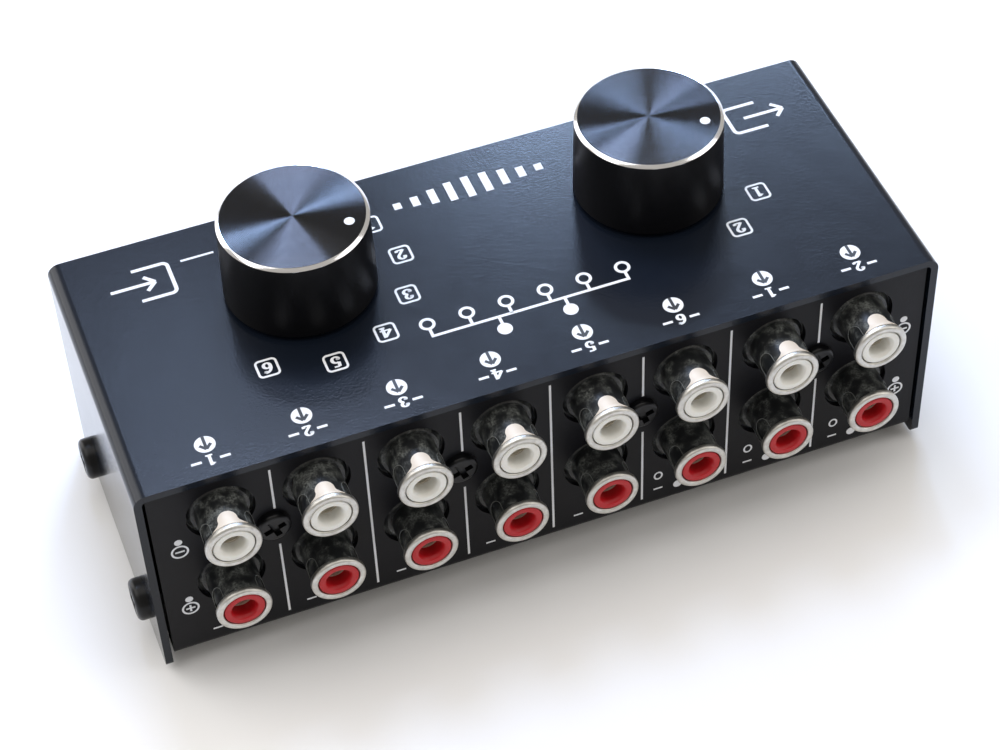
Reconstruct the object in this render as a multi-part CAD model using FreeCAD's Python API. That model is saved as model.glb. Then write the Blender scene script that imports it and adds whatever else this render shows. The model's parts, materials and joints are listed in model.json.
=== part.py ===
import FreeCAD, Part
import math
import os

# A passive selector box: two rotary switches on top, eight columns of phono jacks on the back.
# X runs along the box, the user stands at -Y, the jacks point to +Y, and Z is up.
# The origin is on the table, under the middle of the whole outline. Lengths are in millimetres.

V = FreeCAD.Vector

# Enclosure: a bent cover over a bent chassis
BOX_LENGTH = 125.0
BOX_DEPTH = 49.5
COVER_HEIGHT = 39.0
COVER_SHEET = 1.2
COVER_BEND_RADIUS = 2.0
COVER_CORNER_RADIUS = 1.0
CHASSIS_SHEET = 1.0
CHASSIS_BEND_RADIUS = 1.5
SIDE_GAP = 0.5
TOP_GAP = 0.3
PANEL_INSET = 0.4
COVER_DROP = 1.6
TAB_HEIGHT = 11.0
TAB_END_GAP = 2.5

# Rubber feet
FOOT_HEIGHT = 3.0
FOOT_RADIUS = 4.5
FOOT_TAPER = 0.5
FOOT_INSET = 9.5

# Screws
SIDE_SCREW_RADIUS = 1.5
SIDE_SCREW_LENGTH = 5.0
SIDE_SCREW_HEAD_RADIUS = 3.3
SIDE_SCREW_HEAD_HEIGHT = 2.0
SIDE_SCREW_RISE = 5.4
SIDE_SCREW_REAR_INSET = 8.5
SIDE_SCREW_FRONT_INSET = 11.0
JACK_SCREW_RADIUS = 1.3
JACK_SCREW_LENGTH = 7.0
JACK_SCREW_HEAD_RADIUS = 2.6
JACK_SCREW_HEAD_HEIGHT = 1.2
JACK_SCREW_OFFSET = 1.4
BOARD_SCREW_RADIUS = 1.5
BOARD_SCREW_LENGTH = 5.0
BOARD_SCREW_HEAD_RADIUS = 2.7
BOARD_SCREW_HEAD_HEIGHT = 1.8
SCREW_SLACK = 0.2
THREAD_SLACK = 0.04
CROSS_WIDTH = 1.0
CROSS_DEPTH_SHARE = 0.6
CROSS_ARM_SHARE = 0.66
HEAD_ROUNDING_SHARE = 0.45
SHANK_CHAMFER_SHARE = 0.3
SIDE_SCREW_TURN = 25.0
JACK_SCREW_TURN = 20.0
BOARD_SCREW_TURN = 45.0

# Phono jacks: columns of one upper and one lower jack, two columns to a moulded block
BLOCK_COUNT = 4
BLOCK_END_MARGIN = 4.9
LOWER_ROW_RISE = 14.5
UPPER_ROW_DROP = 7.1
JACK_REACH = 7.0
BLOCK_DEPTH = 10.5
BLOCK_GAP = 0.4
BLOCK_TOP_GAP = 0.5
COLLAR_RADIUS = 4.9
COLLAR_RECESS = 0.3
COLLAR_BEVEL = 0.5
PANEL_HOLE_CLEARANCE = 0.3
BARREL_RADIUS = 3.85
BARREL_SLOT_WIDTH = 3.1
BARREL_SLOT_LENGTH = 3.0
BARREL_SLOT_DEPTH = 0.2
BARREL_SLOT_TURN = 24.0
SHELL_SLEEVE_RADIUS = 3.4
SHELL_WALL = 0.2
FLANGE_RADIUS = 4.2
FLANGE_THICKNESS = 1.0
FLANGE_ROUNDING = 0.4
FLANGE_INNER_BEVEL = 0.2
SHELL_TAB_LENGTH = 2.4
SHELL_TAB_WIDTH = 2.6
SHELL_TAB_FLARE_WIDTH = 5.0
SHELL_TAB_FLARE_LENGTH = 0.9
SHELL_TAB_THICKNESS = 0.15
FLARE_BEND_IN = 0.3
FLARE_BEND_BACK = 0.45
INSULATOR_RECESS = 0.15
INSULATOR_SOCKET_RADIUS = 1.8
INSULATOR_LIP = 2.4
INSULATOR_BEVEL = 0.25
CONTACT_BORE_RADIUS = 1.6
CONTACT_WALL = 0.33
CONTACT_LENGTH = 7.5
CONTACT_SLIT_WIDTH = 0.5
CONTACT_SLIT_LENGTH = 4.5
CONTACT_BACK = 0.8
TAIL_WIDTH = 0.8
TAIL_THICKNESS = 0.4
TAIL_SPACING = 0.5
CONTACT_TAIL_LANE = 1.2
SHELL_TAIL_LANE = 4.2
FIT_SLACK = 0.05

# Circuit board
STANDOFF_HEIGHT = 4.7
STANDOFF_RADIUS = 2.75
STANDOFF_END_INSET = 9.8
STANDOFF_FRONT_INSET = 5.5
STANDOFF_BLOCK_GAP = 5.0
BOARD_THICKNESS = 1.6
BOARD_EDGE_GAP = 0.5
BOARD_CORNER_RADIUS = 1.5
BOARD_HOLE_SLACK = 0.15
PIN_PROTRUSION = 1.0

# Rotary switches
INPUT_KNOB_X = 27.8
OUTPUT_KNOB_X = -28.4
SWITCH_SHIFT = -0.55
POSITION_STEP = 30.0
BUSH_RADIUS = 4.5
BUSH_HEIGHT = 5.2
BUSH_HOLE_SLACK = 0.1
BUSH_CHAMFER = 0.5
PLATE_THICKNESS = 1.2
PEG_RADIUS = 1.1
PEG_DISTANCE = 9.6
SHAFT_RADIUS = 3.0
SHAFT_SLACK = 0.05
SHAFT_CHAMFER = 0.4
WASHER_RADIUS = 6.8
WASHER_THICKNESS = 0.6
NUT_FLATS = 12.0
NUT_THICKNESS = 2.0
STAR_ROD_GAP = 0.6
STAR_NOTCH_RADIUS = 1.0
STAR_THICKNESS = 1.4
STAR_GAP = 0.4
LEAF_THICKNESS = 0.35
LEAF_HALF_LENGTH = 8.0
LEAF_NOSE_RADIUS = 0.5
LEAF_TIP_GAP = 0.15
POST_RADIUS = 1.0
POST_X = 7.0
WAFER_RADIUS = 13.0
WAFER_THICKNESS = 1.4
WAFER_HOLE_RADIUS = 7.2
FIRST_WAFER_DROP = 9.0
WAFER_SPACING = 9.0
ROTOR_GAP = 0.3
ROTOR_HUB_WALL = 1.2
ROTOR_HUB_RISE = 1.2
INPUT_WAFERS = 2
OUTPUT_WAFERS = 1
TERMINAL_COUNT = 12
TERMINAL_WIDTH = 1.2
TERMINAL_THICKNESS = 0.4
TERMINAL_ROTOR_GAP = 0.4
TERMINAL_EDGE_GAP = 0.4
TERMINAL_LANE_STEP = 1.0
TIE_ROD_RADIUS = 1.2
TIE_ROD_RIM_GAP = 2.5
SPACER_RADIUS = 1.9
TIE_NUT_FLATS = 4.4
TIE_NUT_THICKNESS = 1.6
TIE_ROD_END = 0.6
SHAFT_END = 1.0

# Knobs
KNOB_HEIGHT = 13.9
KNOB_GAP = 0.5
KNOB_TOP_RADIUS = 11.3
KNOB_BASE_RADIUS = 11.6
KNOB_BEVEL_WIDTH = 0.7
KNOB_BEVEL_HEIGHT = 0.5
KNOB_BASE_ROUNDING = 0.4
KNOB_RECESS_RADIUS = 8.6
KNOB_RECESS_DEPTH = 5.6
KNOB_ROOF = 2.0
SHAFT_FLAT_DEPTH = 0.5
SHAFT_TOP_GAP = 0.3
GRUB_RADIUS = 1.5
GRUB_LENGTH = 5.0
GRUB_BELOW_ROOF = 3.0
GRUB_SOCKET_FLATS = 1.5
GRUB_SOCKET_DEPTH = 1.6
INPUT_DOT_ANGLE = 150.0
OUTPUT_DOT_ANGLE = 150.0

# Heights and depths that follow from these
jack_overhang = JACK_REACH - PANEL_INSET
box_centre_y = -jack_overhang / 2
rear_edge_y = box_centre_y + BOX_DEPTH / 2
front_edge_y = box_centre_y - BOX_DEPTH / 2
panel_y = rear_edge_y - PANEL_INSET
panel_inner_y = panel_y - CHASSIS_SHEET
front_inner_y = front_edge_y + PANEL_INSET + CHASSIS_SHEET
flange_y = panel_y + JACK_REACH
block_back_y = panel_inner_y - BLOCK_DEPTH
chassis_bottom_z = FOOT_HEIGHT
floor_z = chassis_bottom_z + CHASSIS_SHEET
cover_bottom_z = chassis_bottom_z - COVER_DROP
cover_top_z = cover_bottom_z + COVER_HEIGHT
cover_under_z = cover_top_z - COVER_SHEET
chassis_length = BOX_LENGTH - 2 * (COVER_SHEET + SIDE_GAP)
chassis_depth = BOX_DEPTH - 2 * PANEL_INSET
chassis_height = cover_under_z - TOP_GAP - chassis_bottom_z
lower_row_z = chassis_bottom_z + LOWER_ROW_RISE
upper_row_z = cover_under_z - UPPER_ROW_DROP
side_screw_z = chassis_bottom_z + SIDE_SCREW_RISE
jack_screw_z = (lower_row_z + upper_row_z) / 2 + JACK_SCREW_OFFSET
standoff_x = chassis_length / 2 - STANDOFF_END_INSET
board_bottom_z = floor_z + STANDOFF_HEIGHT
board_top_z = board_bottom_z + BOARD_THICKNESS
pin_bottom_z = board_bottom_z - PIN_PROTRUSION
tail_front_y = block_back_y - 2 * TAIL_THICKNESS - TAIL_SPACING
knob_y = (front_inner_y + tail_front_y) / 2 + SWITCH_SHIFT
plate_bottom_z = cover_under_z - PLATE_THICKNESS
star_top_z = plate_bottom_z - STAR_GAP
first_wafer_top_z = plate_bottom_z - FIRST_WAFER_DROP + WAFER_THICKNESS
knob_bottom_z = cover_top_z + KNOB_GAP
knob_rim_z = cover_top_z + KNOB_HEIGHT
knob_face_z = knob_rim_z + KNOB_BEVEL_HEIGHT
shaft_top_z = knob_face_z - KNOB_ROOF - SHAFT_TOP_GAP
grub_z = knob_face_z - KNOB_ROOF - GRUB_BELOW_ROOF
socket_outer_radius = SHELL_SLEEVE_RADIUS - SHELL_WALL - FIT_SLACK
tie_rod_distance = WAFER_RADIUS - TIE_ROD_RIM_GAP
star_tip_radius = tie_rod_distance - SPACER_RADIUS - STAR_ROD_GAP
column_pitch = (BOX_LENGTH - 2 * BLOCK_END_MARGIN) / (2 * BLOCK_COUNT)
column_xs = [column_pitch * (index - BLOCK_COUNT + 0.5) for index in range(2 * BLOCK_COUNT)]


def cylinder(radius, length, base, axis=V(0, 0, 1)):
    return Part.makeCylinder(radius, length, base, axis)


def box_between(low, high):
    return Part.makeBox(high.x - low.x, high.y - low.y, high.z - low.z, low)


def revolve_profile(points, base, axis):
    """Turn a closed outline of (radius, distance along the axis) points about an axis at base."""
    outline = Part.makePolygon([V(r, 0, h) for r, h in points] + [V(points[0][0], 0, points[0][1])])
    solid = Part.Face(outline).revolve(V(0, 0, 0), V(0, 0, 1), 360)
    solid.Placement = FreeCAD.Placement(base, FreeCAD.Rotation(V(0, 0, 1), axis))
    return solid


def fillet_where(shape, radius, test):
    return shape.makeFillet(radius, [edge for edge in shape.Edges if test(edge)])


def runs_along(edge, direction):
    line = edge.Curve
    return isinstance(line, Part.Line) and abs(line.Direction.dot(direction)) > 0.999


def group(solids):
    return Part.makeCompound(solids)


def prism(flats, height, base, axis=V(0, 0, 1)):
    """A hexagonal prism with the given width across its flats."""
    corner = flats / math.sqrt(3)
    points = [V(corner * math.cos(math.radians(60 * k)), corner * math.sin(math.radians(60 * k)), 0)
              for k in range(7)]
    solid = Part.Face(Part.makePolygon(points)).extrude(V(0, 0, height))
    solid.Placement = FreeCAD.Placement(base, FreeCAD.Rotation(V(0, 0, 1), axis))
    return solid


def pan_head_screw(radius, length, head_radius, head_height):
    """A cross-recessed screw with its head above z = 0 and its shank below."""
    head = cylinder(head_radius, head_height, V(0, 0, 0))
    head = fillet_where(head, head_height * HEAD_ROUNDING_SHARE,
                        lambda edge: edge.BoundBox.ZMin > head_height / 2)
    depth = head_height * CROSS_DEPTH_SHARE
    arm = head_radius * CROSS_ARM_SHARE
    for long_x, long_y in ((arm, CROSS_WIDTH / 2), (CROSS_WIDTH / 2, arm)):
        slot = box_between(V(-long_x, -long_y, head_height - depth), V(long_x, long_y, head_height + 1))
        head = head.cut(slot)
    shank = cylinder(radius, length, V(0, 0, -length))
    shank = shank.makeChamfer(radius * SHANK_CHAMFER_SHARE, [shank.Edges[-1]])
    return head.fuse(shank).removeSplitter()


def placed(shape, base, axis, turn=0):
    """A copy with its own z axis along the given axis, turned about it first."""
    copy = shape.copy()
    spin = FreeCAD.Rotation(V(0, 0, 1), turn)
    copy.Placement = FreeCAD.Placement(base, FreeCAD.Rotation(V(0, 0, 1), axis).multiply(spin))
    return copy


def bent_channel(span, run, rise, sheet, bend_radius):
    """A sheet bent up at both ends of its span: the web lies at z = 0, centred on the origin."""
    def rounded_block(width, height, bottom, radius):
        block = box_between(V(-width / 2, -run / 2, bottom), V(width / 2, run / 2, height))
        if radius > 0:
            block = fillet_where(block, radius, lambda edge: runs_along(edge, V(0, 1, 0))
                                 and edge.BoundBox.ZMax < bottom + radius / 2)
        return block
    outer = rounded_block(span, rise, 0, bend_radius)
    inner = rounded_block(span - 2 * sheet, rise + 1, sheet, bend_radius - sheet)
    return outer.cut(inner)


def side_screw_points():
    """Where the four side screws cross the cover's walls: (side, y) pairs."""
    ys = (rear_edge_y - SIDE_SCREW_REAR_INSET, front_edge_y + SIDE_SCREW_FRONT_INSET)
    return [(side, y) for side in (-1, 1) for y in ys]



def make_cover():
    cover = bent_channel(BOX_LENGTH, BOX_DEPTH, COVER_HEIGHT, COVER_SHEET, COVER_BEND_RADIUS)
    cover.rotate(V(0, 0, 0), V(0, 1, 0), 180)
    cover.translate(V(0, box_centre_y, cover_top_z))
    cover = fillet_where(cover, COVER_CORNER_RADIUS, lambda edge: runs_along(edge, V(1, 0, 0))
                         and edge.BoundBox.ZMax < cover_bottom_z + COVER_SHEET)
    for x in (INPUT_KNOB_X, OUTPUT_KNOB_X):
        base = V(x, knob_y, cover_under_z - 1)
        cover = cover.cut(cylinder(BUSH_RADIUS + BUSH_HOLE_SLACK, COVER_SHEET + 2, base))
        peg_base = base + V(0, PEG_DISTANCE, 0)
        cover = cover.cut(cylinder(PEG_RADIUS + BUSH_HOLE_SLACK, COVER_SHEET + 2, peg_base))
    for side, y in side_screw_points():
        base = V(side * (BOX_LENGTH / 2 - COVER_SHEET - 1), y, side_screw_z)
        cover = cover.cut(cylinder(SIDE_SCREW_RADIUS + SCREW_SLACK, COVER_SHEET + 2, base, V(side, 0, 0)))
    return cover


def jack_hole(x, z):
    """The round panel hole of one jack."""
    radius = COLLAR_RADIUS + PANEL_HOLE_CLEARANCE
    return cylinder(radius, CHASSIS_SHEET + 2, V(x, panel_inner_y - 1, z), V(0, 1, 0))


def block_centres():
    return [(column_xs[2 * index] + column_xs[2 * index + 1]) / 2 for index in range(BLOCK_COUNT)]


def make_chassis():
    chassis = bent_channel(chassis_depth, chassis_length, chassis_height, CHASSIS_SHEET, CHASSIS_BEND_RADIUS)
    chassis.rotate(V(0, 0, 0), V(0, 0, 1), 90)
    chassis.translate(V(0, box_centre_y, chassis_bottom_z))
    inner_length = chassis_depth - 2 * (CHASSIS_SHEET + TAB_END_GAP)
    tabs = bent_channel(chassis_length, inner_length, TAB_HEIGHT, CHASSIS_SHEET, CHASSIS_BEND_RADIUS)
    tabs.translate(V(0, box_centre_y, chassis_bottom_z))
    tab_zone = box_between(V(-chassis_length, box_centre_y - inner_length / 2, chassis_bottom_z - 1),
                           V(chassis_length, box_centre_y + inner_length / 2, chassis_bottom_z + TAB_HEIGHT))
    chassis = chassis.cut(tab_zone).fuse(tabs).removeSplitter()
    for x in column_xs:
        for z in (lower_row_z, upper_row_z):
            chassis = chassis.cut(jack_hole(x, z))
    for x in block_centres():
        base = V(x, panel_inner_y - 1, jack_screw_z)
        chassis = chassis.cut(cylinder(JACK_SCREW_RADIUS + SCREW_SLACK, CHASSIS_SHEET + 2, base, V(0, 1, 0)))
    for side, y in side_screw_points():
        base = V(side * (chassis_length / 2 - CHASSIS_SHEET - 1), y, side_screw_z)
        pilot = cylinder(SIDE_SCREW_RADIUS + THREAD_SLACK, CHASSIS_SHEET + 2, base, V(side, 0, 0))
        chassis = chassis.cut(pilot)
    return chassis


def make_side_screws():
    screw = pan_head_screw(SIDE_SCREW_RADIUS, SIDE_SCREW_LENGTH, SIDE_SCREW_HEAD_RADIUS,
                           SIDE_SCREW_HEAD_HEIGHT)
    return group([placed(screw, V(side * BOX_LENGTH / 2, y, side_screw_z), V(side, 0, 0), SIDE_SCREW_TURN)
                  for side, y in side_screw_points()])


def make_feet():
    x = chassis_length / 2 - FOOT_INSET
    ys = (box_centre_y - chassis_depth / 2 + FOOT_INSET, box_centre_y + chassis_depth / 2 - FOOT_INSET)
    return group([Part.makeCone(FOOT_RADIUS - FOOT_TAPER, FOOT_RADIUS, FOOT_HEIGHT, V(side * x, y, 0))
                  for side in (-1, 1) for y in ys])


def standoff_points():
    ys = (front_inner_y + STANDOFF_FRONT_INSET, block_back_y - STANDOFF_BLOCK_GAP)
    return [V(side * standoff_x, y, floor_z) for side in (-1, 1) for y in ys]


def make_standoffs():
    standoffs = []
    for point in standoff_points():
        bore = cylinder(BOARD_SCREW_RADIUS + THREAD_SLACK, STANDOFF_HEIGHT, point)
        standoffs.append(cylinder(STANDOFF_RADIUS, STANDOFF_HEIGHT, point).cut(bore))
    return group(standoffs)


def make_board_screws():
    screw = pan_head_screw(BOARD_SCREW_RADIUS, BOARD_SCREW_LENGTH, BOARD_SCREW_HEAD_RADIUS,
                           BOARD_SCREW_HEAD_HEIGHT)
    return group([placed(screw, V(point.x, point.y, board_top_z), V(0, 0, 1), BOARD_SCREW_TURN)
                  for point in standoff_points()])


def jack_tails(x):
    """The four solder tails of one column: (centre x, front y, is it of a shell) entries."""
    shell_y = block_back_y - TAIL_THICKNESS
    return [(x - SHELL_TAIL_LANE, shell_y), (x + SHELL_TAIL_LANE, shell_y),
            (x - CONTACT_TAIL_LANE, tail_front_y), (x + CONTACT_TAIL_LANE, tail_front_y)]


def terminal_angles():
    step = 360.0 / TERMINAL_COUNT
    return [step * (index + 0.5) for index in range(TERMINAL_COUNT)]


def terminal_lane(wafer, wafers):
    """The distance from the axis of a wafer's pins: upper wafers' pins pass outside lower ones."""
    return WAFER_RADIUS + TERMINAL_EDGE_GAP + TERMINAL_LANE_STEP * (wafers - 1 - wafer)


def terminal_points(x, wafer, wafers):
    lane = terminal_lane(wafer, wafers)
    return [V(x + lane * math.cos(math.radians(angle)), knob_y + lane * math.sin(math.radians(angle)), 0)
            for angle in terminal_angles()]


def make_board():
    half_length = chassis_length / 2 - CHASSIS_SHEET - BOARD_EDGE_GAP
    half_length -= SIDE_SCREW_LENGTH - COVER_SHEET - SIDE_GAP - CHASSIS_SHEET
    board = box_between(V(-half_length, front_inner_y + BOARD_EDGE_GAP, board_bottom_z),
                        V(half_length, panel_inner_y - BOARD_EDGE_GAP, board_top_z))
    board = fillet_where(board, BOARD_CORNER_RADIUS, lambda edge: runs_along(edge, V(0, 0, 1)))
    holes = [cylinder(BOARD_SCREW_RADIUS + SCREW_SLACK, BOARD_THICKNESS, V(p.x, p.y, board_bottom_z))
             for p in standoff_points()]
    for x in column_xs:
        for tail_x, tail_y in jack_tails(x):
            half = TAIL_WIDTH / 2 + BOARD_HOLE_SLACK
            low_y = tail_y - BOARD_HOLE_SLACK
            high_y = tail_y + TAIL_THICKNESS + BOARD_HOLE_SLACK
            holes.append(box_between(V(tail_x - half, low_y, board_bottom_z),
                                     V(tail_x + half, high_y, board_top_z)))
    for x, wafers in ((INPUT_KNOB_X, INPUT_WAFERS), (OUTPUT_KNOB_X, OUTPUT_WAFERS)):
        for wafer in range(wafers):
            for point in terminal_points(x, wafer, wafers):
                base = V(point.x, point.y, board_bottom_z)
                holes.append(cylinder(TERMINAL_WIDTH / 2 + BOARD_HOLE_SLACK, BOARD_THICKNESS, base))
    return board.cut(holes)


def barrel(x, z):
    """One jack's collar and barrel, standing out of the block's front, with its two arched recesses."""
    collar_length = CHASSIS_SHEET - COLLAR_RECESS
    collar = cylinder(COLLAR_RADIUS, collar_length, V(x, panel_inner_y, z), V(0, 1, 0))
    collar = collar.makeChamfer(COLLAR_BEVEL, [edge for edge in collar.Edges
                                               if edge.BoundBox.YMin > panel_inner_y + collar_length / 2])
    front_y = flange_y - FLANGE_THICKNESS
    tube = cylinder(BARREL_RADIUS, front_y - panel_inner_y, V(x, panel_inner_y, z), V(0, 1, 0))
    jack = collar.fuse(tube)
    slot_base = V(x, front_y - BARREL_SLOT_LENGTH, z)
    skin = cylinder(BARREL_RADIUS + 1, BARREL_SLOT_LENGTH, slot_base, V(0, 1, 0))
    skin = skin.cut(cylinder(BARREL_RADIUS - BARREL_SLOT_DEPTH, BARREL_SLOT_LENGTH, slot_base, V(0, 1, 0)))
    half = BARREL_SLOT_WIDTH / 2
    arch_y = slot_base.y + half
    for side in (-1, 1):
        low_x, high_x = sorted((x, x + side * (BARREL_RADIUS + 1)))
        slot = box_between(V(low_x, arch_y, z - half), V(high_x, front_y, z + half))
        slot = slot.fuse(cylinder(half, high_x - low_x, V(low_x, arch_y, z), V(1, 0, 0)))
        slot.rotate(V(x, 0, z), V(0, 1, 0), -side * BARREL_SLOT_TURN)
        jack = jack.cut(slot.common(skin))
    return jack


def make_jack_block(centre_x):
    half = column_pitch - BLOCK_GAP / 2
    block = box_between(V(centre_x - half, block_back_y, board_top_z),
                        V(centre_x + half, panel_inner_y, cover_under_z - BLOCK_TOP_GAP))
    axes = [(centre_x + side * column_pitch / 2, z) for side in (-1, 1) for z in (lower_row_z, upper_row_z)]
    block = block.fuse([barrel(x, z) for x, z in axes])
    bore = SHELL_SLEEVE_RADIUS + FIT_SLACK
    length = flange_y - block_back_y + 2
    block = block.cut([cylinder(bore, length, V(x, block_back_y - 1, z), V(0, 1, 0)) for x, z in axes])
    pilot = cylinder(JACK_SCREW_RADIUS + THREAD_SLACK, JACK_SCREW_LENGTH,
                     V(centre_x, panel_inner_y - JACK_SCREW_LENGTH, jack_screw_z), V(0, 1, 0))
    return block.cut(pilot).removeSplitter()


def shell_tab():
    """The bell-shaped tongue of a ground shell, above a jack that runs along +Y from y = 0 backwards."""
    half = SHELL_TAB_WIDTH / 2
    flare = SHELL_TAB_FLARE_WIDTH / 2
    straight_y = -SHELL_TAB_FLARE_LENGTH
    tip_y = -SHELL_TAB_LENGTH
    bend_x = half + (flare - half) * FLARE_BEND_IN
    bend_y = straight_y * FLARE_BEND_BACK
    lines = [
        Part.Arc(V(flare, 0, 0), V(bend_x, bend_y, 0), V(half, straight_y, 0)),
        Part.LineSegment(V(half, straight_y, 0), V(half, tip_y + half, 0)),
        Part.Arc(V(half, tip_y + half, 0), V(0, tip_y, 0), V(-half, tip_y + half, 0)),
        Part.LineSegment(V(-half, tip_y + half, 0), V(-half, straight_y, 0)),
        Part.Arc(V(-half, straight_y, 0), V(-bend_x, bend_y, 0), V(-flare, 0, 0)),
        Part.LineSegment(V(-flare, 0, 0), V(flare, 0, 0)),
    ]
    outline = Part.Face(Part.Wire([line.toShape() for line in lines]))
    inner = BARREL_RADIUS + FIT_SLACK / 2
    outer = inner + SHELL_TAB_THICKNESS
    ring = cylinder(outer, SHELL_TAB_LENGTH, V(0, tip_y, 0), V(0, 1, 0))
    ring = ring.cut(cylinder(inner, SHELL_TAB_LENGTH, V(0, tip_y, 0), V(0, 1, 0)))
    return ring.common(outline.extrude(V(0, 0, outer + 1)))


def shell_tail(lane_side):
    """The solder tail of a ground shell on one side of the jack's axis, down from z = 0."""
    lane = lane_side * SHELL_TAIL_LANE
    ring_x = lane_side * (SHELL_SLEEVE_RADIUS - SHELL_WALL)
    low_x, high_x = sorted((ring_x, lane + lane_side * TAIL_WIDTH / 2))
    bridge = box_between(V(low_x, -TAIL_THICKNESS, -TAIL_WIDTH / 2), V(high_x, 0, TAIL_WIDTH / 2))
    return lane, bridge


def make_ground_shell(x, z, is_upper):
    inner = SHELL_SLEEVE_RADIUS - SHELL_WALL
    length = flange_y - block_back_y + TAIL_THICKNESS
    profile = [
        (inner, -length), (SHELL_SLEEVE_RADIUS, -length), (SHELL_SLEEVE_RADIUS, -FLANGE_THICKNESS),
        (FLANGE_RADIUS, -FLANGE_THICKNESS), (FLANGE_RADIUS, 0),
        (inner + FLANGE_INNER_BEVEL, 0), (inner, -FLANGE_INNER_BEVEL),
    ]
    shell = revolve_profile(profile, V(0, 0, 0), V(0, 1, 0))
    shell = fillet_where(shell, FLANGE_ROUNDING, lambda edge: edge.BoundBox.YMin > -FLANGE_ROUNDING / 2
                         and edge.BoundBox.XLength > FLANGE_RADIUS + SHELL_SLEEVE_RADIUS)
    tab = shell_tab()
    tab.translate(V(0, -FLANGE_THICKNESS, 0))
    shell = shell.fuse(tab).removeSplitter()
    if not is_upper:
        shell.rotate(V(0, 0, 0), V(0, 1, 0), 180)
    shell.translate(V(x, flange_y, z))
    side = -1 if is_upper else 1
    lane, bridge = shell_tail(side)
    bridge.translate(V(x, block_back_y, z))
    tail = box_between(V(x + lane - TAIL_WIDTH / 2, block_back_y - TAIL_THICKNESS, pin_bottom_z),
                       V(x + lane + TAIL_WIDTH / 2, block_back_y, z + TAIL_WIDTH / 2))
    return shell.fuse([bridge, tail]).removeSplitter()


def make_insulator(x, z):
    front = flange_y - INSULATOR_RECESS
    length = front - block_back_y
    cavity = CONTACT_BORE_RADIUS + CONTACT_WALL + FIT_SLACK
    outer = socket_outer_radius
    bevel = INSULATOR_BEVEL
    profile = [
        (cavity, -length), (outer, -length), (outer, -bevel), (outer - bevel, 0),
        (INSULATOR_SOCKET_RADIUS + bevel, 0), (INSULATOR_SOCKET_RADIUS, -bevel),
        (INSULATOR_SOCKET_RADIUS, -INSULATOR_LIP), (cavity, -INSULATOR_LIP),
    ]
    return revolve_profile(profile, V(x, front, z), V(0, 1, 0))


def make_contact(x, z, is_upper):
    """The split socket that grips a plug's centre pin, with its solder tail behind the block."""
    front = flange_y - INSULATOR_RECESS - INSULATOR_LIP - FIT_SLACK
    outer = CONTACT_BORE_RADIUS + CONTACT_WALL
    back = front - CONTACT_LENGTH
    socket = cylinder(outer, CONTACT_LENGTH, V(x, back, z), V(0, 1, 0))
    bore = cylinder(CONTACT_BORE_RADIUS, CONTACT_LENGTH, V(x, back + CONTACT_BACK, z), V(0, 1, 0))
    socket = socket.cut(bore)
    half = CONTACT_SLIT_WIDTH / 2
    slit_y = front - CONTACT_SLIT_LENGTH
    slit = box_between(V(x - outer - 1, slit_y, z - half), V(x + outer + 1, front + 1, z + half))
    socket = socket.cut(slit)
    lane = x + (CONTACT_TAIL_LANE if is_upper else -CONTACT_TAIL_LANE)
    half_width = TAIL_WIDTH / 2
    arm = box_between(V(lane - half_width, tail_front_y, z - TAIL_THICKNESS / 2),
                      V(lane + half_width, back, z + TAIL_THICKNESS / 2))
    drop = box_between(V(lane - half_width, tail_front_y, pin_bottom_z),
                       V(lane + half_width, tail_front_y + TAIL_THICKNESS, z + TAIL_THICKNESS / 2))
    return socket.fuse([arm, drop]).removeSplitter()


def make_jack_screws():
    screw = pan_head_screw(JACK_SCREW_RADIUS, JACK_SCREW_LENGTH, JACK_SCREW_HEAD_RADIUS,
                           JACK_SCREW_HEAD_HEIGHT)
    return group([placed(screw, V(x, panel_y, jack_screw_z), V(0, 1, 0), JACK_SCREW_TURN)
                  for x in block_centres()])


def make_switch_bush(x):
    """The cast mounting plate of a rotary switch with its bush, locating peg and two leaf posts."""
    plate = cylinder(WAFER_RADIUS, PLATE_THICKNESS, V(x, knob_y, plate_bottom_z))
    bush = cylinder(BUSH_RADIUS, COVER_SHEET + BUSH_HEIGHT, V(x, knob_y, cover_under_z))
    bush = bush.makeChamfer(BUSH_CHAMFER, [edge for edge in bush.Edges if edge.BoundBox.ZMin > cover_top_z])
    peg = cylinder(PEG_RADIUS, COVER_SHEET, V(x, knob_y + PEG_DISTANCE, cover_under_z))
    leaf_back_y = knob_y - star_tip_radius - LEAF_TIP_GAP - LEAF_NOSE_RADIUS - LEAF_THICKNESS
    post_length = STAR_GAP + STAR_THICKNESS
    posts = [cylinder(POST_RADIUS, post_length, V(x + side * POST_X, leaf_back_y - POST_RADIUS,
                                                  plate_bottom_z - post_length)) for side in (-1, 1)]
    body = plate.fuse([bush, peg] + posts)
    bore = cylinder(SHAFT_RADIUS + SHAFT_SLACK, knob_face_z, V(x, knob_y, plate_bottom_z - 1))
    rods = [cylinder(TIE_ROD_RADIUS + FIT_SLACK, PLATE_THICKNESS, V(x + side * tie_rod_distance, knob_y,
                                                                  plate_bottom_z)) for side in (-1, 1)]
    return body.cut([bore] + rods).removeSplitter()


def make_washer(x):
    base = V(x, knob_y, cover_top_z)
    ring = cylinder(WASHER_RADIUS, WASHER_THICKNESS, base)
    return ring.cut(cylinder(BUSH_RADIUS + BUSH_HOLE_SLACK, WASHER_THICKNESS, base))


def make_nut(x):
    base = V(x, knob_y, cover_top_z + WASHER_THICKNESS)
    nut = prism(NUT_FLATS, NUT_THICKNESS, base)
    return nut.cut(cylinder(BUSH_RADIUS + THREAD_SLACK, NUT_THICKNESS, base))


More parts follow.
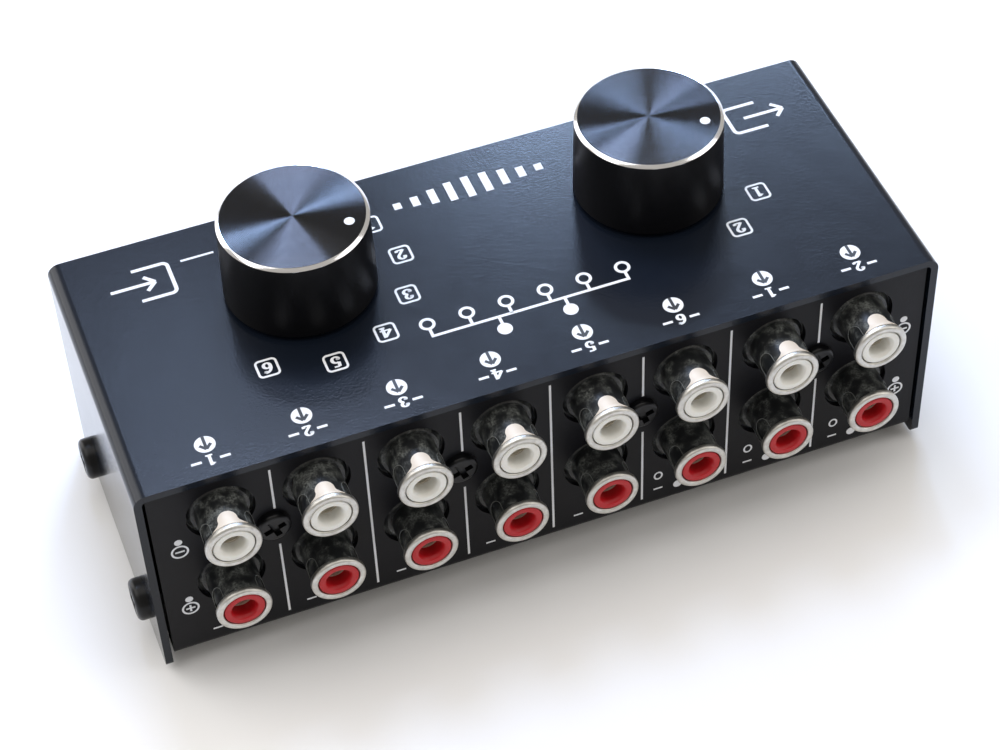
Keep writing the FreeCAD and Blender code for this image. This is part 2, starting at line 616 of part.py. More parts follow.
def make_star_wheel(x):
    base = V(x, knob_y, star_top_z - STAR_THICKNESS)
    wheel = cylinder(star_tip_radius, STAR_THICKNESS, base)
    count = int(round(360 / POSITION_STEP))
    notches = []
    for index in range(count):
        angle = math.radians(POSITION_STEP * index - 90)
        offset = V(star_tip_radius * math.cos(angle), star_tip_radius * math.sin(angle), 0)
        notches.append(cylinder(STAR_NOTCH_RADIUS, STAR_THICKNESS, base + offset))
    return wheel.cut(notches + [cylinder(SHAFT_RADIUS + FIT_SLACK / 2, STAR_THICKNESS, base)])


def make_detent_leaf(x):
    """The flat spring whose nose clicks along the star wheel, between the two posts."""
    nose_y = knob_y - star_tip_radius - LEAF_TIP_GAP - LEAF_NOSE_RADIUS
    bottom = star_top_z - STAR_THICKNESS
    strip = box_between(V(x - LEAF_HALF_LENGTH, nose_y - LEAF_THICKNESS, bottom),
                        V(x + LEAF_HALF_LENGTH, nose_y, star_top_z))
    nose = cylinder(LEAF_NOSE_RADIUS, STAR_THICKNESS, V(x, nose_y, bottom))
    return strip.fuse(nose).removeSplitter()


def wafer_top(wafer):
    return first_wafer_top_z - WAFER_SPACING * wafer


def make_wafer(x, wafer):
    base = V(x, knob_y, wafer_top(wafer) - WAFER_THICKNESS)
    disc = cylinder(WAFER_RADIUS, WAFER_THICKNESS, base)
    holes = [cylinder(WAFER_HOLE_RADIUS, WAFER_THICKNESS, base)]
    for side in (-1, 1):
        rod_base = base + V(side * tie_rod_distance, 0, 0)
        holes.append(cylinder(TIE_ROD_RADIUS + FIT_SLACK, WAFER_THICKNESS, rod_base))
    return disc.cut(holes)


def make_rotor(x, wafer):
    base = V(x, knob_y, wafer_top(wafer) - WAFER_THICKNESS)
    rotor = cylinder(WAFER_HOLE_RADIUS - ROTOR_GAP, WAFER_THICKNESS, base)
    hub = cylinder(SHAFT_RADIUS + ROTOR_HUB_WALL, WAFER_THICKNESS + ROTOR_HUB_RISE, base)
    return rotor.fuse(hub).cut(cylinder(SHAFT_RADIUS + FIT_SLACK / 2, WAFER_THICKNESS + 2, base))


def make_terminals(x, wafers):
    """Clips fixed round each wafer, each with a pin that reaches down through the board."""
    solids = []
    inner = WAFER_HOLE_RADIUS + TERMINAL_ROTOR_GAP
    half_pin = TERMINAL_THICKNESS / 2
    for wafer in range(wafers):
        lane = terminal_lane(wafer, wafers)
        top = wafer_top(wafer)
        clip = box_between(V(inner, -TERMINAL_WIDTH / 2, top),
                           V(lane + half_pin, TERMINAL_WIDTH / 2, top + TERMINAL_THICKNESS))
        pin = box_between(V(lane - half_pin, -TERMINAL_WIDTH / 3, pin_bottom_z),
                          V(lane + half_pin, TERMINAL_WIDTH / 3, top + TERMINAL_THICKNESS))
        terminal = clip.fuse(pin).removeSplitter()
        for angle in terminal_angles():
            copy = terminal.copy()
            copy.rotate(V(0, 0, 0), V(0, 0, 1), angle)
            copy.translate(V(x, knob_y, 0))
            solids.append(copy)
    return group(solids)


def make_tie_rods(x, wafers):
    """Two rods with spacers and end nuts that hold the wafers under the plate."""
    solids = []
    lowest = wafer_top(wafers - 1) - WAFER_THICKNESS
    rod_end = lowest - TIE_NUT_THICKNESS - TIE_ROD_END
    for side in (-1, 1):
        centre = V(x + side * tie_rod_distance, knob_y, 0)
        solids.append(cylinder(TIE_ROD_RADIUS, cover_under_z - rod_end, centre + V(0, 0, rod_end)))
        for wafer in range(wafers):
            top = plate_bottom_z if wafer == 0 else wafer_top(wafer - 1) - WAFER_THICKNESS
            bottom = wafer_top(wafer)
            base = centre + V(0, 0, bottom)
            spacer = cylinder(SPACER_RADIUS, top - bottom, base)
            solids.append(spacer.cut(cylinder(TIE_ROD_RADIUS + FIT_SLACK, top - bottom, base)))
        base = centre + V(0, 0, lowest - TIE_NUT_THICKNESS)
        nut = prism(TIE_NUT_FLATS, TIE_NUT_THICKNESS, base)
        solids.append(nut.cut(cylinder(TIE_ROD_RADIUS + FIT_SLACK, TIE_NUT_THICKNESS, base)))
    return group(solids)


def make_shaft(x, wafers, dot_angle):
    """The spindle, with a flat near its top on the side away from the knob's dot."""
    bottom = wafer_top(wafers - 1) - WAFER_THICKNESS - SHAFT_END
    shaft = cylinder(SHAFT_RADIUS, shaft_top_z - bottom, V(0, 0, bottom))
    shaft = shaft.makeChamfer(SHAFT_CHAMFER, [edge for edge in shaft.Edges
                                              if edge.BoundBox.ZMin > shaft_top_z - SHAFT_CHAMFER])
    flat_z = grub_z - GRUB_BELOW_ROOF
    flat = box_between(V(-SHAFT_RADIUS - 1, -SHAFT_RADIUS - 1, flat_z),
                       V(-SHAFT_RADIUS + SHAFT_FLAT_DEPTH, SHAFT_RADIUS + 1, shaft_top_z + 1))
    shaft = shaft.cut(flat)
    shaft.rotate(V(0, 0, 0), V(0, 0, 1), dot_angle)
    shaft.translate(V(x, knob_y, 0))
    return shaft


def make_knob(x, dot_angle):
    """A turned knob: slightly tapered side, cut bevel, hollow underside and a bore for the shaft."""
    bore = SHAFT_RADIUS + FIT_SLACK
    recess_z = knob_bottom_z + KNOB_RECESS_DEPTH
    profile = [
        (KNOB_RECESS_RADIUS, knob_bottom_z), (KNOB_BASE_RADIUS - KNOB_BASE_ROUNDING, knob_bottom_z),
        (KNOB_BASE_RADIUS, knob_bottom_z + KNOB_BASE_ROUNDING), (KNOB_TOP_RADIUS, knob_rim_z),
        (KNOB_TOP_RADIUS - KNOB_BEVEL_WIDTH, knob_face_z), (0, knob_face_z),
        (0, knob_face_z - KNOB_ROOF), (bore, knob_face_z - KNOB_ROOF),
        (bore, recess_z), (KNOB_RECESS_RADIUS, recess_z),
    ]
    knob = revolve_profile(profile, V(0, 0, 0), V(0, 0, 1))
    knob = knob.cut(cylinder(GRUB_RADIUS + THREAD_SLACK, KNOB_BASE_RADIUS + 1, V(0, 0, grub_z), V(-1, 0, 0)))
    knob.rotate(V(0, 0, 0), V(0, 0, 1), dot_angle)
    knob.translate(V(x, knob_y, 0))
    return knob


def make_grub_screw(x, dot_angle):
    tip = SHAFT_RADIUS - SHAFT_FLAT_DEPTH + FIT_SLACK
    screw = cylinder(GRUB_RADIUS, GRUB_LENGTH, V(-tip, 0, grub_z), V(-1, 0, 0))
    base = V(-tip - GRUB_LENGTH + GRUB_SOCKET_DEPTH, 0, grub_z)
    screw = screw.cut(prism(GRUB_SOCKET_FLATS, GRUB_SOCKET_DEPTH + 1, base, V(-1, 0, 0)))
    screw.rotate(V(0, 0, 0), V(0, 0, 1), dot_angle)
    screw.translate(V(x, knob_y, 0))
    return screw


def make_switch(name, x, wafers, dot_angle):
    """All the pieces of one rotary switch and its knob, by node name."""
    pieces = {
        name + "_knob": make_knob(x, dot_angle),
        name + "_grub_screw": make_grub_screw(x, dot_angle),
        name + "_shaft": make_shaft(x, wafers, dot_angle),
        name + "_star_wheel": make_star_wheel(x),
        name + "_detent_leaf": make_detent_leaf(x),
        name + "_switch_bush": make_switch_bush(x),
        name + "_bush_washer": make_washer(x),
        name + "_bush_nut": make_nut(x),
        name + "_tie_rods": make_tie_rods(x, wafers),
        name + "_terminals": make_terminals(x, wafers),
    }
    for wafer in range(wafers):
        pieces["%s_wafer_%d" % (name, wafer + 1)] = make_wafer(x, wafer)
        pieces["%s_rotor_%d" % (name, wafer + 1)] = make_rotor(x, wafer)
    return pieces


def make_jacks(index, centre_x):
    """The moulded block of four jacks with its metal and plastic pieces, by node name."""
    xs = (centre_x - column_pitch / 2, centre_x + column_pitch / 2)
    number = "_%d" % (index + 1)
    rows = ((lower_row_z, False), (upper_row_z, True))
    return {
        "jack_block" + number: make_jack_block(centre_x),
        "ground_shells" + number: group([make_ground_shell(x, z, upper) for x in xs for z, upper in rows]),
        "white_insulators" + number: group([make_insulator(x, upper_row_z) for x in xs]),
        "red_insulators" + number: group([make_insulator(x, lower_row_z) for x in xs]),
        "centre_contacts" + number: group([make_contact(x, z, upper) for x in xs for z, upper in rows]),
    }


def make_all():
    nodes = {
        "top_cover": make_cover(),
        "base_chassis": make_chassis(),
        "side_screws": make_side_screws(),
        "rubber_feet": make_feet(),
        "board_standoffs": make_standoffs(),
        "circuit_board": make_board(),
        "board_screws": make_board_screws(),
        "jack_screws": make_jack_screws(),
    }
    for index, centre_x in enumerate(block_centres()):
        nodes.update(make_jacks(index, centre_x))
    nodes.update(make_switch("input", INPUT_KNOB_X, INPUT_WAFERS, INPUT_DOT_ANGLE))
    nodes.update(make_switch("output", OUTPUT_KNOB_X, OUTPUT_WAFERS, OUTPUT_DOT_ANGLE))
    return nodes


os.makedirs("parts", exist_ok=True)
for node, shape in make_all().items():
    solids = shape.Solids
    if not solids or not shape.isValid():
        raise RuntimeError("bad shape: " + node)
    shape.exportStep("parts/%s.step" % node)
    print(node, len(solids), "solids", round(shape.Volume, 1), "mm3")
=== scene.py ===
# %% [markdown]
# # A selector box with two knobs and sixteen phono jacks
# The box is a bent, powder-coated cover over a bent chassis. Two turned knobs stand on top, and
# eight columns of jacks stand out of the back. The CAD frame already gives every piece its place
# and its size, so this lesson adds what a solid model lacks: the finishes, the printed marks, and
# the turned and moulded pieces whose highlights need finer surfaces. The frame is in metres. The
# sizes below are in millimetres, and MM turns them into metres where Blender takes them.

# %% Load the frame
import json
import math

import bmesh
import bpy
import numpy as np
from mathutils import Matrix, Vector


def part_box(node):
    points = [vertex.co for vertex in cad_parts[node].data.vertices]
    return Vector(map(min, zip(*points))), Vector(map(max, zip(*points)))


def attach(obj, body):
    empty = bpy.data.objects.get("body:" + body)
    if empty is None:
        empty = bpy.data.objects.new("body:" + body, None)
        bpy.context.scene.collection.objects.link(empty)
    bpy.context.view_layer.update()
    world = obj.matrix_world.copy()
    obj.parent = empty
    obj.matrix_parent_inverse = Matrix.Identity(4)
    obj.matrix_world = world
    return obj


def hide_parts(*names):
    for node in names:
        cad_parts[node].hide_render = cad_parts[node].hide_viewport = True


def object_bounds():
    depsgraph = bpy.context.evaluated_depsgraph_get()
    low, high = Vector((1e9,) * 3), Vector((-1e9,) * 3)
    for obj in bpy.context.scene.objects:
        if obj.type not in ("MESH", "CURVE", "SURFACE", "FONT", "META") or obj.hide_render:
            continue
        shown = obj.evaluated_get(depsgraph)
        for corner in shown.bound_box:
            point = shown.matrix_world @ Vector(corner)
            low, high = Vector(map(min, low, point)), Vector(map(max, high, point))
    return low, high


MM = 0.001
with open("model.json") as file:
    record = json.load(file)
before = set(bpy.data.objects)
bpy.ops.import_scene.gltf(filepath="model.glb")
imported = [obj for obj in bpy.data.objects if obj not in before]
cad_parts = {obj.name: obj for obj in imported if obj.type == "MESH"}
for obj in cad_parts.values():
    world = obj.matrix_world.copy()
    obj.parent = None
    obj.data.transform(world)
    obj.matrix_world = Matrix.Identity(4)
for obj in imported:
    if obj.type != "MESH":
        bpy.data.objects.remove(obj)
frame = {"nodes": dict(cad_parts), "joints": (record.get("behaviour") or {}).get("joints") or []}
cad_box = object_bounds()


def in_mm(place):
    """A place from the frame in mm, without the last digits that single precision adds."""
    return [round(metres / MM, 3) for metres in place]


print("CAD box in mm:", [in_mm(corner) for corner in cad_box])

# %% [markdown]
# ## The camera
# The photograph was taken from behind the box, above its left end, quite close. A long lens from
# far away would make the box's edges parallel, which they aren't, so the distance matters as much
# as the direction. The place, the aim, the lens and a slight roll come from fitting the box's
# edges, the jack rings and the knobs. The camera looks along its own -Z, with +X to its right.

# %% Place the camera
CAMERA_PLACE = Vector((88.53, 262.67, 321.63)) * MM
CAMERA_AIM = Vector((0.69, 0.94, 20.0)) * MM
CAMERA_ROLL = math.radians(-2.753)
CAMERA_LENS = 95.02
SENSOR_WIDTH = 36
NEAREST, FARTHEST = 10, 20000

forward = (CAMERA_AIM - CAMERA_PLACE).normalized()
level_right = forward.cross(Vector((0, 0, 1))).normalized()
level_up = level_right.cross(forward)
right = math.cos(CAMERA_ROLL) * level_right + math.sin(CAMERA_ROLL) * level_up
up = right.cross(forward)
camera = bpy.data.objects.new("camera", bpy.data.cameras.new("camera"))
camera.matrix_world = Matrix((
    (right.x, up.x, -forward.x, CAMERA_PLACE.x),
    (right.y, up.y, -forward.y, CAMERA_PLACE.y),
    (right.z, up.z, -forward.z, CAMERA_PLACE.z),
    (0, 0, 0, 1)))
camera.data.lens = CAMERA_LENS
camera.data.sensor_width = SENSOR_WIDTH
camera.data.clip_start = NEAREST * MM
camera.data.clip_end = FARTHEST * MM
bpy.context.scene.collection.objects.link(camera)
bpy.context.scene.camera = camera
print("distance to the aim in mm:", round((CAMERA_AIM - CAMERA_PLACE).length / MM, 1))

# %% [markdown]
# ## Shader maths as expressions
# A material's pattern is arithmetic on coordinates. Wiring that by hand is slow to read, so a small
# class wraps a socket: an expression such as `1 - mask * 0.5` adds the Math nodes for it. Colours
# and vectors go through Mix and Vector Math nodes, because a Math node would turn a colour grey.

# %% A material builder
class Value:
    """A number socket of a finish that can be used in arithmetic."""

    def __init__(self, finish, socket):
        self.finish = finish
        self.socket = socket

    def math(self, operation, *inputs):
        """The result of a Math node, its inputs in order."""
        node = self.finish.node("ShaderNodeMath", {"operation": operation}, dict(enumerate(inputs)))
        return Value(self.finish, node.outputs[0])

    def __add__(self, other):
        return self.math("ADD", self, other)

    __radd__ = __add__

    def __sub__(self, other):
        return self.math("SUBTRACT", self, other)

    def __rsub__(self, other):
        return self.math("SUBTRACT", other, self)

    def __mul__(self, other):
        return self.math("MULTIPLY", self, other)

    __rmul__ = __mul__

    def __abs__(self):
        return self.math("ABSOLUTE", self)

    def step(self, low, high):
        """A smooth rise from 0 at low to 1 at high."""
        node = self.finish.node("ShaderNodeMapRange", {"interpolation_type": "SMOOTHSTEP"},
                                {"Value": self, "From Min": low, "From Max": high})
        return Value(self.finish, node.outputs[0])


class Finish:
    """A material with a Principled shader and helpers for the patterns that feed it."""

    def __init__(self, name, **constants):
        self.material = bpy.data.materials.new(name)
        self.material.use_nodes = True
        self.tree = self.material.node_tree
        self.shader = self.tree.nodes["Principled BSDF"]
        for socket, value in constants.items():
            self.shader.inputs[socket.replace("_", " ")].default_value = value

    def node(self, kind, settings, inputs):
        """Any other node: its type, its settings, then the value or link of each socket, which is
        called by its name or its number."""
        made = self.tree.nodes.new(kind)
        for key, value in settings.items():
            setattr(made, key, value)
        for key, value in inputs.items():
            source = value.socket if isinstance(value, Value) else value
            if isinstance(source, bpy.types.NodeSocket):
                self.tree.links.new(source, made.inputs[key])
            else:
                made.inputs[key].default_value = source
        return made

    def place(self):
        """The point's own place on the object, in metres."""
        return self.node("ShaderNodeTexCoord", {}, {}).outputs["Object"]

    def axes(self):
        """The x, y and z of the point, in metres, as three values."""
        parts = self.node("ShaderNodeSeparateXYZ", {}, {"Vector": self.place()})
        return [Value(self, output) for output in parts.outputs]

    def noise(self, period, detail, roughness=0.5):
        """Soft random values whose blobs are about one period across."""
        made = self.node("ShaderNodeTexNoise", {}, {
            "Vector": self.place(), "Scale": 1 / period, "Detail": detail, "Roughness": roughness})
        return Value(self, made.outputs[0])

    def blend(self, mask, first, second):
        """A colour between two others, by a mask from 0 to 1. A Mix node has sockets for each type of
        data: those of a colour are numbers 6 and 7, and its result is output 2."""
        made = self.node("ShaderNodeMix", {"data_type": "RGBA"}, {0: mask, 6: (*first, 1), 7: (*second, 1)})
        return made.outputs[2]

    def feed(self, socket, value):
        """Link a value or a colour to one of the shader's own sockets."""
        source = value.socket if isinstance(value, Value) else value
        self.tree.links.new(source, self.shader.inputs[socket])

    def bump(self, height, distance):
        """Feed a height pattern, 0 to 1 over the distance, to the shader's normal."""
        made = self.node("ShaderNodeBump", {}, {"Height": height, "Distance": distance, "Strength": 1.0})
        self.feed("Normal", made.outputs[0])


# %% [markdown]
# ## Powder-coated steel
# The cover and chassis are sheet steel under a black powder coat: a thin plastic skin that flows and sets
# with a fine orange peel, so it is glossy but slightly rippled. A flat black would look like a hole; the
# skin needs its own reflection. So the base is a very dark blue grey, the cover's skin is smoother than the
# chassis's, and two sizes of noise lift the surface by up to a few hundredths of a millimetre. The cover's
# base is bluer than the chassis's: that extra blue is a painted sheen, standing in for the blue light the
# cover mirrors. The cover's two side walls mirror the room a little more sharply than its top, which a mask
# on the distance from the middle gives.

# %% Powder coat
COAT_SHADE = 0.86
COAT_BLOTCH = 9 * MM
COAT_DRIFT = 0.06
DRIFT_BLOTCH = 3 * MM
PEEL_FINE = 0.42 * MM
PEEL_BROAD = 1.6 * MM
PEEL_FINE_SHARE = 0.75
SIDE_WALL = (61.6 * MM, 62.4 * MM)
SIDE_SMOOTHER = 0.09


def powder_coat(name, colour, roughness, peel, shine):
    """A dark skin whose colour and roughness drift a little. Its height is three parts of fine noise
    to one of broad, times the peel, and its roughness falls where abs(x) passes the side wall."""
    finish = Finish(name, Specular_IOR_Level=shine)
    dark = tuple(COAT_SHADE * channel for channel in colour)
    finish.feed("Base Color", finish.blend(finish.noise(COAT_BLOTCH, 3), dark, colour))
    side = abs(finish.axes()[0]).step(*SIDE_WALL)
    drift = COAT_DRIFT * (finish.noise(DRIFT_BLOTCH, 2) - 0.5)
    finish.feed("Roughness", roughness + drift - SIDE_SMOOTHER * side)
    fine = PEEL_FINE_SHARE * finish.noise(PEEL_FINE, 2)
    broad = (1 - PEEL_FINE_SHARE) * finish.noise(PEEL_BROAD, 1)
    finish.bump(fine + broad, peel)
    return finish.material


# The cover's bluer base colour is a painted blue sheen, added to the sheen that its lamps give.
cover_coat = powder_coat("black powder coat on the cover", (0.006, 0.009, 0.016), roughness=0.22,
                         peel=0.024 * MM, shine=0.29)
chassis_coat = powder_coat("black powder coat on the chassis", (0.006, 0.006, 0.008), roughness=0.42,
                           peel=0.012 * MM, shine=0.16)
print("powder coats:", cover_coat.name, "and", chassis_coat.name)


# %% [markdown]
# ## The other finishes
# Each finish answers two questions: what does it reflect, and what breaks up that reflection? Tin
# plate is a bright, slightly warm metal with soft smears from handling. Moulded plastic is a
# coloured body under a clear skin. Turned and anodised aluminium is a dark metal whose fine
# grooves stretch every highlight across them, which is what anisotropy does in the shader.

# %% Plain metals and plastics
LEAST_ROUGH = 0.85
ROUGH_SWING = 0.3
ROUGH_PERIOD = 0.37
PEEL_PERIOD = 0.12


def mottled(name, colour, roughness, period, shade, peel=0.0, **constants):
    """A finish whose colour drifts down to its shade over blobs about one period across. Its
    roughness and its peel drift over smaller ones, whose periods are shares of that period."""
    finish = Finish(name, **constants)
    dark = tuple(shade * channel for channel in colour)
    finish.feed("Base Color", finish.blend(finish.noise(period, 3), dark, colour))
    swing = ROUGH_SWING * finish.noise(period * ROUGH_PERIOD, 2)
    finish.feed("Roughness", roughness * (LEAST_ROUGH + swing))
    if peel:
        finish.bump(finish.noise(period * PEEL_PERIOD, 2), peel)
    return finish.material


tin_plate = mottled("bright tin plate", (0.76, 0.74, 0.69), 0.40, 1.0 * MM, 0.50, 0.014 * MM, Metallic=1.0)
tongue_tin = mottled("satin tin on the tongues", (0.84, 0.75, 0.64), 0.50, 2.0 * MM, 0.90, 0.006 * MM,
                     Metallic=0.25)
white_plastic = mottled("white moulded plastic", (0.80, 0.79, 0.74), 0.34, 3 * MM, 0.95,
                        Subsurface_Weight=0.15, Subsurface_Radius=(0.6 * MM, 0.5 * MM, 0.4 * MM))
red_plastic = mottled("red moulded plastic", (0.47, 0.008, 0.013), 0.36, 1.6 * MM, 0.8, 0.006 * MM,
                      Specular_IOR_Level=0.35)
screw_black = mottled("black oxide on the screws", (0.005, 0.005, 0.006), 0.30, 1.5 * MM, 0.8, 0.006 * MM,
                      Specular_IOR_Level=0.3)
foot_rubber = mottled("foot rubber", (0.022, 0.022, 0.022), 0.75, 2.0 * MM, 0.85, 0.02 * MM)
zinc_plate = mottled("bright zinc plate", (0.60, 0.60, 0.58), 0.32, 4 * MM, 0.9, Metallic=1.0)
socket_tin = mottled("dull tin inside the sockets", (0.74, 0.68, 0.57), 0.6, 0.8 * MM, 0.75, Metallic=0.2)
terminal_brass = mottled("tinned brass", (0.70, 0.66, 0.56), 0.34, 2 * MM, 0.85, Metallic=1.0)
board_green = mottled("green solder resist", (0.02, 0.17, 0.07), 0.30, 6 * MM, 0.85)
wafer_brown = mottled("phenolic laminate", (0.36, 0.20, 0.09), 0.5, 2 * MM, 0.8, 0.01 * MM)
rotor_nylon = mottled("natural nylon", (0.76, 0.74, 0.66), 0.45, 3 * MM, 0.95)
white_ink = mottled("white screen ink", (0.80, 0.81, 0.84), 0.55, 1.2 * MM, 0.9)
black_ink = mottled("black screen ink", (0.016, 0.018, 0.022), 0.5, 1.2 * MM, 0.9)
print("plain finishes:", len(bpy.data.materials), "materials with the frame's own")


def dusty_plastic(name, clean, dust):
    """Black plastic with patches of pale dust: a soft mask from two sizes of noise drives both the
    colour and the roughness, because dust is paler and duller than what it lies on."""
    finish = Finish(name, Specular_IOR_Level=0.45)
    broad = finish.noise(1.9 * MM, 3).step(0.40, 0.68)
    fine = finish.noise(0.35 * MM, 3, 0.7).step(0.30, 0.75)
    patches = broad * fine
    finish.feed("Base Color", finish.blend(patches, clean, dust))
    finish.feed("Roughness", 0.34 + 0.35 * patches)
    finish.bump(finish.noise(0.5 * MM, 2), 0.01 * MM)
    return finish.material


barrel_plastic = dusty_plastic("dusty black plastic", (0.010, 0.011, 0.012), (0.16, 0.17, 0.16))
# The recesses' pale rims: their grey is partly wear and partly a painted highlight where the rims catch the
# light.
rim_wear_and_highlight = mottled("pale grey rims of the recesses, wear and painted highlight", (0.20, 0.21, 0.20), 0.5, 1.1 * MM, 0.35)
print("barrels:", barrel_plastic.name, "and", rim_wear_and_highlight.name)

# %% [markdown]
# ## Anodised aluminium
# A knob is turned from aluminium and dyed black. Its side is plain and dark, its bevel is cut after
# the dye and so is bright, and its face keeps the turning's fine rings. The rings of the face are
# real geometry further down, and the shader's anisotropy adds the grooves too fine to model.

# %% Anodised aluminium on the knobs
knob_side = mottled("black anodised side", (0.003, 0.003, 0.004), 0.36, 5 * MM, 0.85,
                    Specular_IOR_Level=0.25)
cut_bright = mottled("bright cut bevel", (0.93, 0.93, 0.95), 0.14, 3 * MM, 0.95, Metallic=1.0,
                     Anisotropic=0.5)


def spun_black(name, dark, pale):
    """Black anodised aluminium with turned grooves. The shader's own tangent runs round the grooves,
    and a quarter turn points its stretched highlights across them, from the centre to the rim."""
    finish = Finish(name, Metallic=1.0, Anisotropic=0.9, Anisotropic_Rotation=0.25)
    finish.feed("Base Color", finish.blend(finish.noise(4 * MM, 2), dark, pale))
    finish.feed("Roughness", 0.14 + 0.03 * finish.noise(1.5 * MM, 2))
    return finish.material


spun_face = spun_black("spun black face", (0.040, 0.042, 0.047), (0.046, 0.048, 0.054))
print("knobs:", knob_side.name, "and", cut_bright.name, "and", spun_face.name)

# %% [markdown]
# ## Surfaces worked out on grids
# A turned piece is a profile carried round an axis, and a printed line is a small rectangle
# carried along a path. Both are grids of points, so one function makes a mesh from a grid: it
# joins each point to its neighbours in the next row and column, merges the points that meet at a
# pole, and turns the faces outwards.

# %% From grids to meshes
POLE_MERGE = 1e-8


def grid_faces(rows, columns, start, wrap_rows, wrap_columns):
    """The four corners of each cell: (i, j), (i, j+1), (i+1, j+1), (i+1, j), as point numbers."""
    i, j = np.meshgrid(np.arange(rows if wrap_rows else rows - 1),
                       np.arange(columns if wrap_columns else columns - 1), indexing="ij")
    after_i, after_j = (i + 1) % rows, (j + 1) % columns
    cells = np.stack([i * columns + j, i * columns + after_j, after_i * columns + after_j,
                      after_i * columns + j], -1)
    return start + cells.reshape(-1, 4)


def make_piece(name, grids, finish, body, sharp):
    """A piece from grids of points in mm. Each grid is (points, wrap rows, wrap columns, ends capped),
    and edges that turn by more than the sharp angle, in degrees, stay hard."""
    points, faces, count = [], [], 0
    for grid, wrap_rows, wrap_columns, capped in grids:
        rows, columns = grid.shape[:2]
        faces += grid_faces(rows, columns, count, wrap_rows, wrap_columns).tolist()
        if capped:
            first = np.arange(columns)
            faces += [(count + first[::-1]).tolist(), (count + (rows - 1) * columns + first).tolist()]
        points.append(grid.reshape(-1, 3))
        count += rows * columns
    mesh = bpy.data.meshes.new(name)
    mesh.from_pydata(np.concatenate(points) * MM, [], faces)
    shape = bmesh.new()
    shape.from_mesh(mesh)
    bmesh.ops.remove_doubles(shape, verts=shape.verts, dist=POLE_MERGE)
    bmesh.ops.recalc_face_normals(shape, faces=shape.faces)
    shape.to_mesh(mesh)
    shape.free()
    mesh.shade_smooth()
    mesh.set_sharp_from_angle(angle=math.radians(sharp))
    mesh.materials.append(finish)
    piece = bpy.data.objects.new(name, mesh)
    bpy.context.scene.collection.objects.link(piece)
    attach(piece, body)
    return piece


def turned(profile, base, steps, axis="Z"):
    """Each (radius, height) pair goes round an axis: base + radius (cos t, sin t) + height along it."""
    radius, height = np.asarray(profile, float).T
    t = np.linspace(0, 2 * np.pi, steps, endpoint=False)
    across = radius[:, None] * np.cos(t)
    beside = radius[:, None] * np.sin(t)
    along = np.repeat(height[:, None], steps, 1)
    parts = (across, beside, along) if axis == "Z" else (across, along, beside)
    return np.stack(parts, -1) + np.asarray(base, float)


def bend(centre, radius, start, end, count):
    """Profile points on a circle from one angle to another, in degrees."""
    t = np.radians(np.linspace(start, end, count))
    return np.stack([centre[0] + radius * np.cos(t), centre[1] + radius * np.sin(t)], -1)


# %% [markdown]
# ## The knobs
# Each knob is one turned piece of aluminium, anodised black, whose top edge is then cut again to
# show bright metal. The CAD solid already has the tapered side with the grub screw's hole, so it
# stays. The face and the bevel get their own skins: the face has real grooves about a fifth of a
# millimetre apart, and the bevel is a separate bright ring, because its edge against the black
# must be a crisp circle. The knobs' places come from the joints, which turn about their shafts.

# %% Knob faces and bevels
KNOBS = {joint["child"]: in_mm(joint["pos_m"]) for joint in frame["joints"]}
KNOB_FACE_Z = in_mm(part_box("input_knob")[1])[2]
KNOB_RIM_Z = KNOB_FACE_Z - 0.5
KNOB_TOP_RADIUS = 11.3
BEVEL_WIDTH = 0.5
BEVEL_DROP = 0.38
BEVEL_LIP = 0.03
BEVEL_ROOT = 0.18
SKIN = 0.03
GROOVE_PITCH = 0.22
GROOVE_SLOPE = 0.30
POINTS_PER_GROOVE = 8
FACE_GAP = 0.02
FACE_ROOT = 0.05
DOT_RADIUS = 0.82
DOT_HEIGHT = 0.05
DOT_DISTANCE = 8.5
DOT_ANGLE = math.radians(150)


def face_profile():
    """Height = -depth * (1 - cos(2 pi r / pitch)) / 2: rings from the centre to the edge. The steepest
    slope of such a wave is pi * depth / pitch, so the depth follows from the slope."""
    edge = KNOB_TOP_RADIUS - BEVEL_WIDTH - FACE_GAP
    depth = GROOVE_SLOPE * GROOVE_PITCH / math.pi
    r = np.linspace(0, edge, int(edge / GROOVE_PITCH * POINTS_PER_GROOVE))
    ripple = -depth * (1 - np.cos(2 * np.pi * r / GROOVE_PITCH)) / 2
    top = np.stack([r, KNOB_FACE_Z + SKIN + ripple], -1)
    root = KNOB_FACE_Z - FACE_ROOT
    return np.concatenate([top, [(edge, root), (0, root)]])


def bevel_profile():
    """A thin conical ring over the solid's cut edge: it falls by the drop over the bevel's width, with
    both lips rounded a little, and its underside lies in the solid."""
    inner = KNOB_TOP_RADIUS - BEVEL_WIDTH
    top = KNOB_FACE_Z + SKIN
    low = top - BEVEL_DROP
    return [(inner - BEVEL_LIP, top - 0.01), (inner + BEVEL_LIP, top + 0.008),
            (KNOB_TOP_RADIUS + 0.01, low + BEVEL_LIP), (KNOB_TOP_RADIUS + SKIN, low),
            (KNOB_TOP_RADIUS + SKIN, low - 0.04), (KNOB_TOP_RADIUS - 0.1, KNOB_RIM_Z),
            (inner - BEVEL_LIP, KNOB_FACE_Z - BEVEL_ROOT)]


def dot_profile():
    """A drop of paint: nearly flat, a little lower near its rim, and rooted in the face."""
    return [(0, DOT_HEIGHT + 0.005), (DOT_RADIUS - 0.08, DOT_HEIGHT), (DOT_RADIUS, 0),
            (DOT_RADIUS, -FACE_ROOT), (0, -FACE_ROOT)]


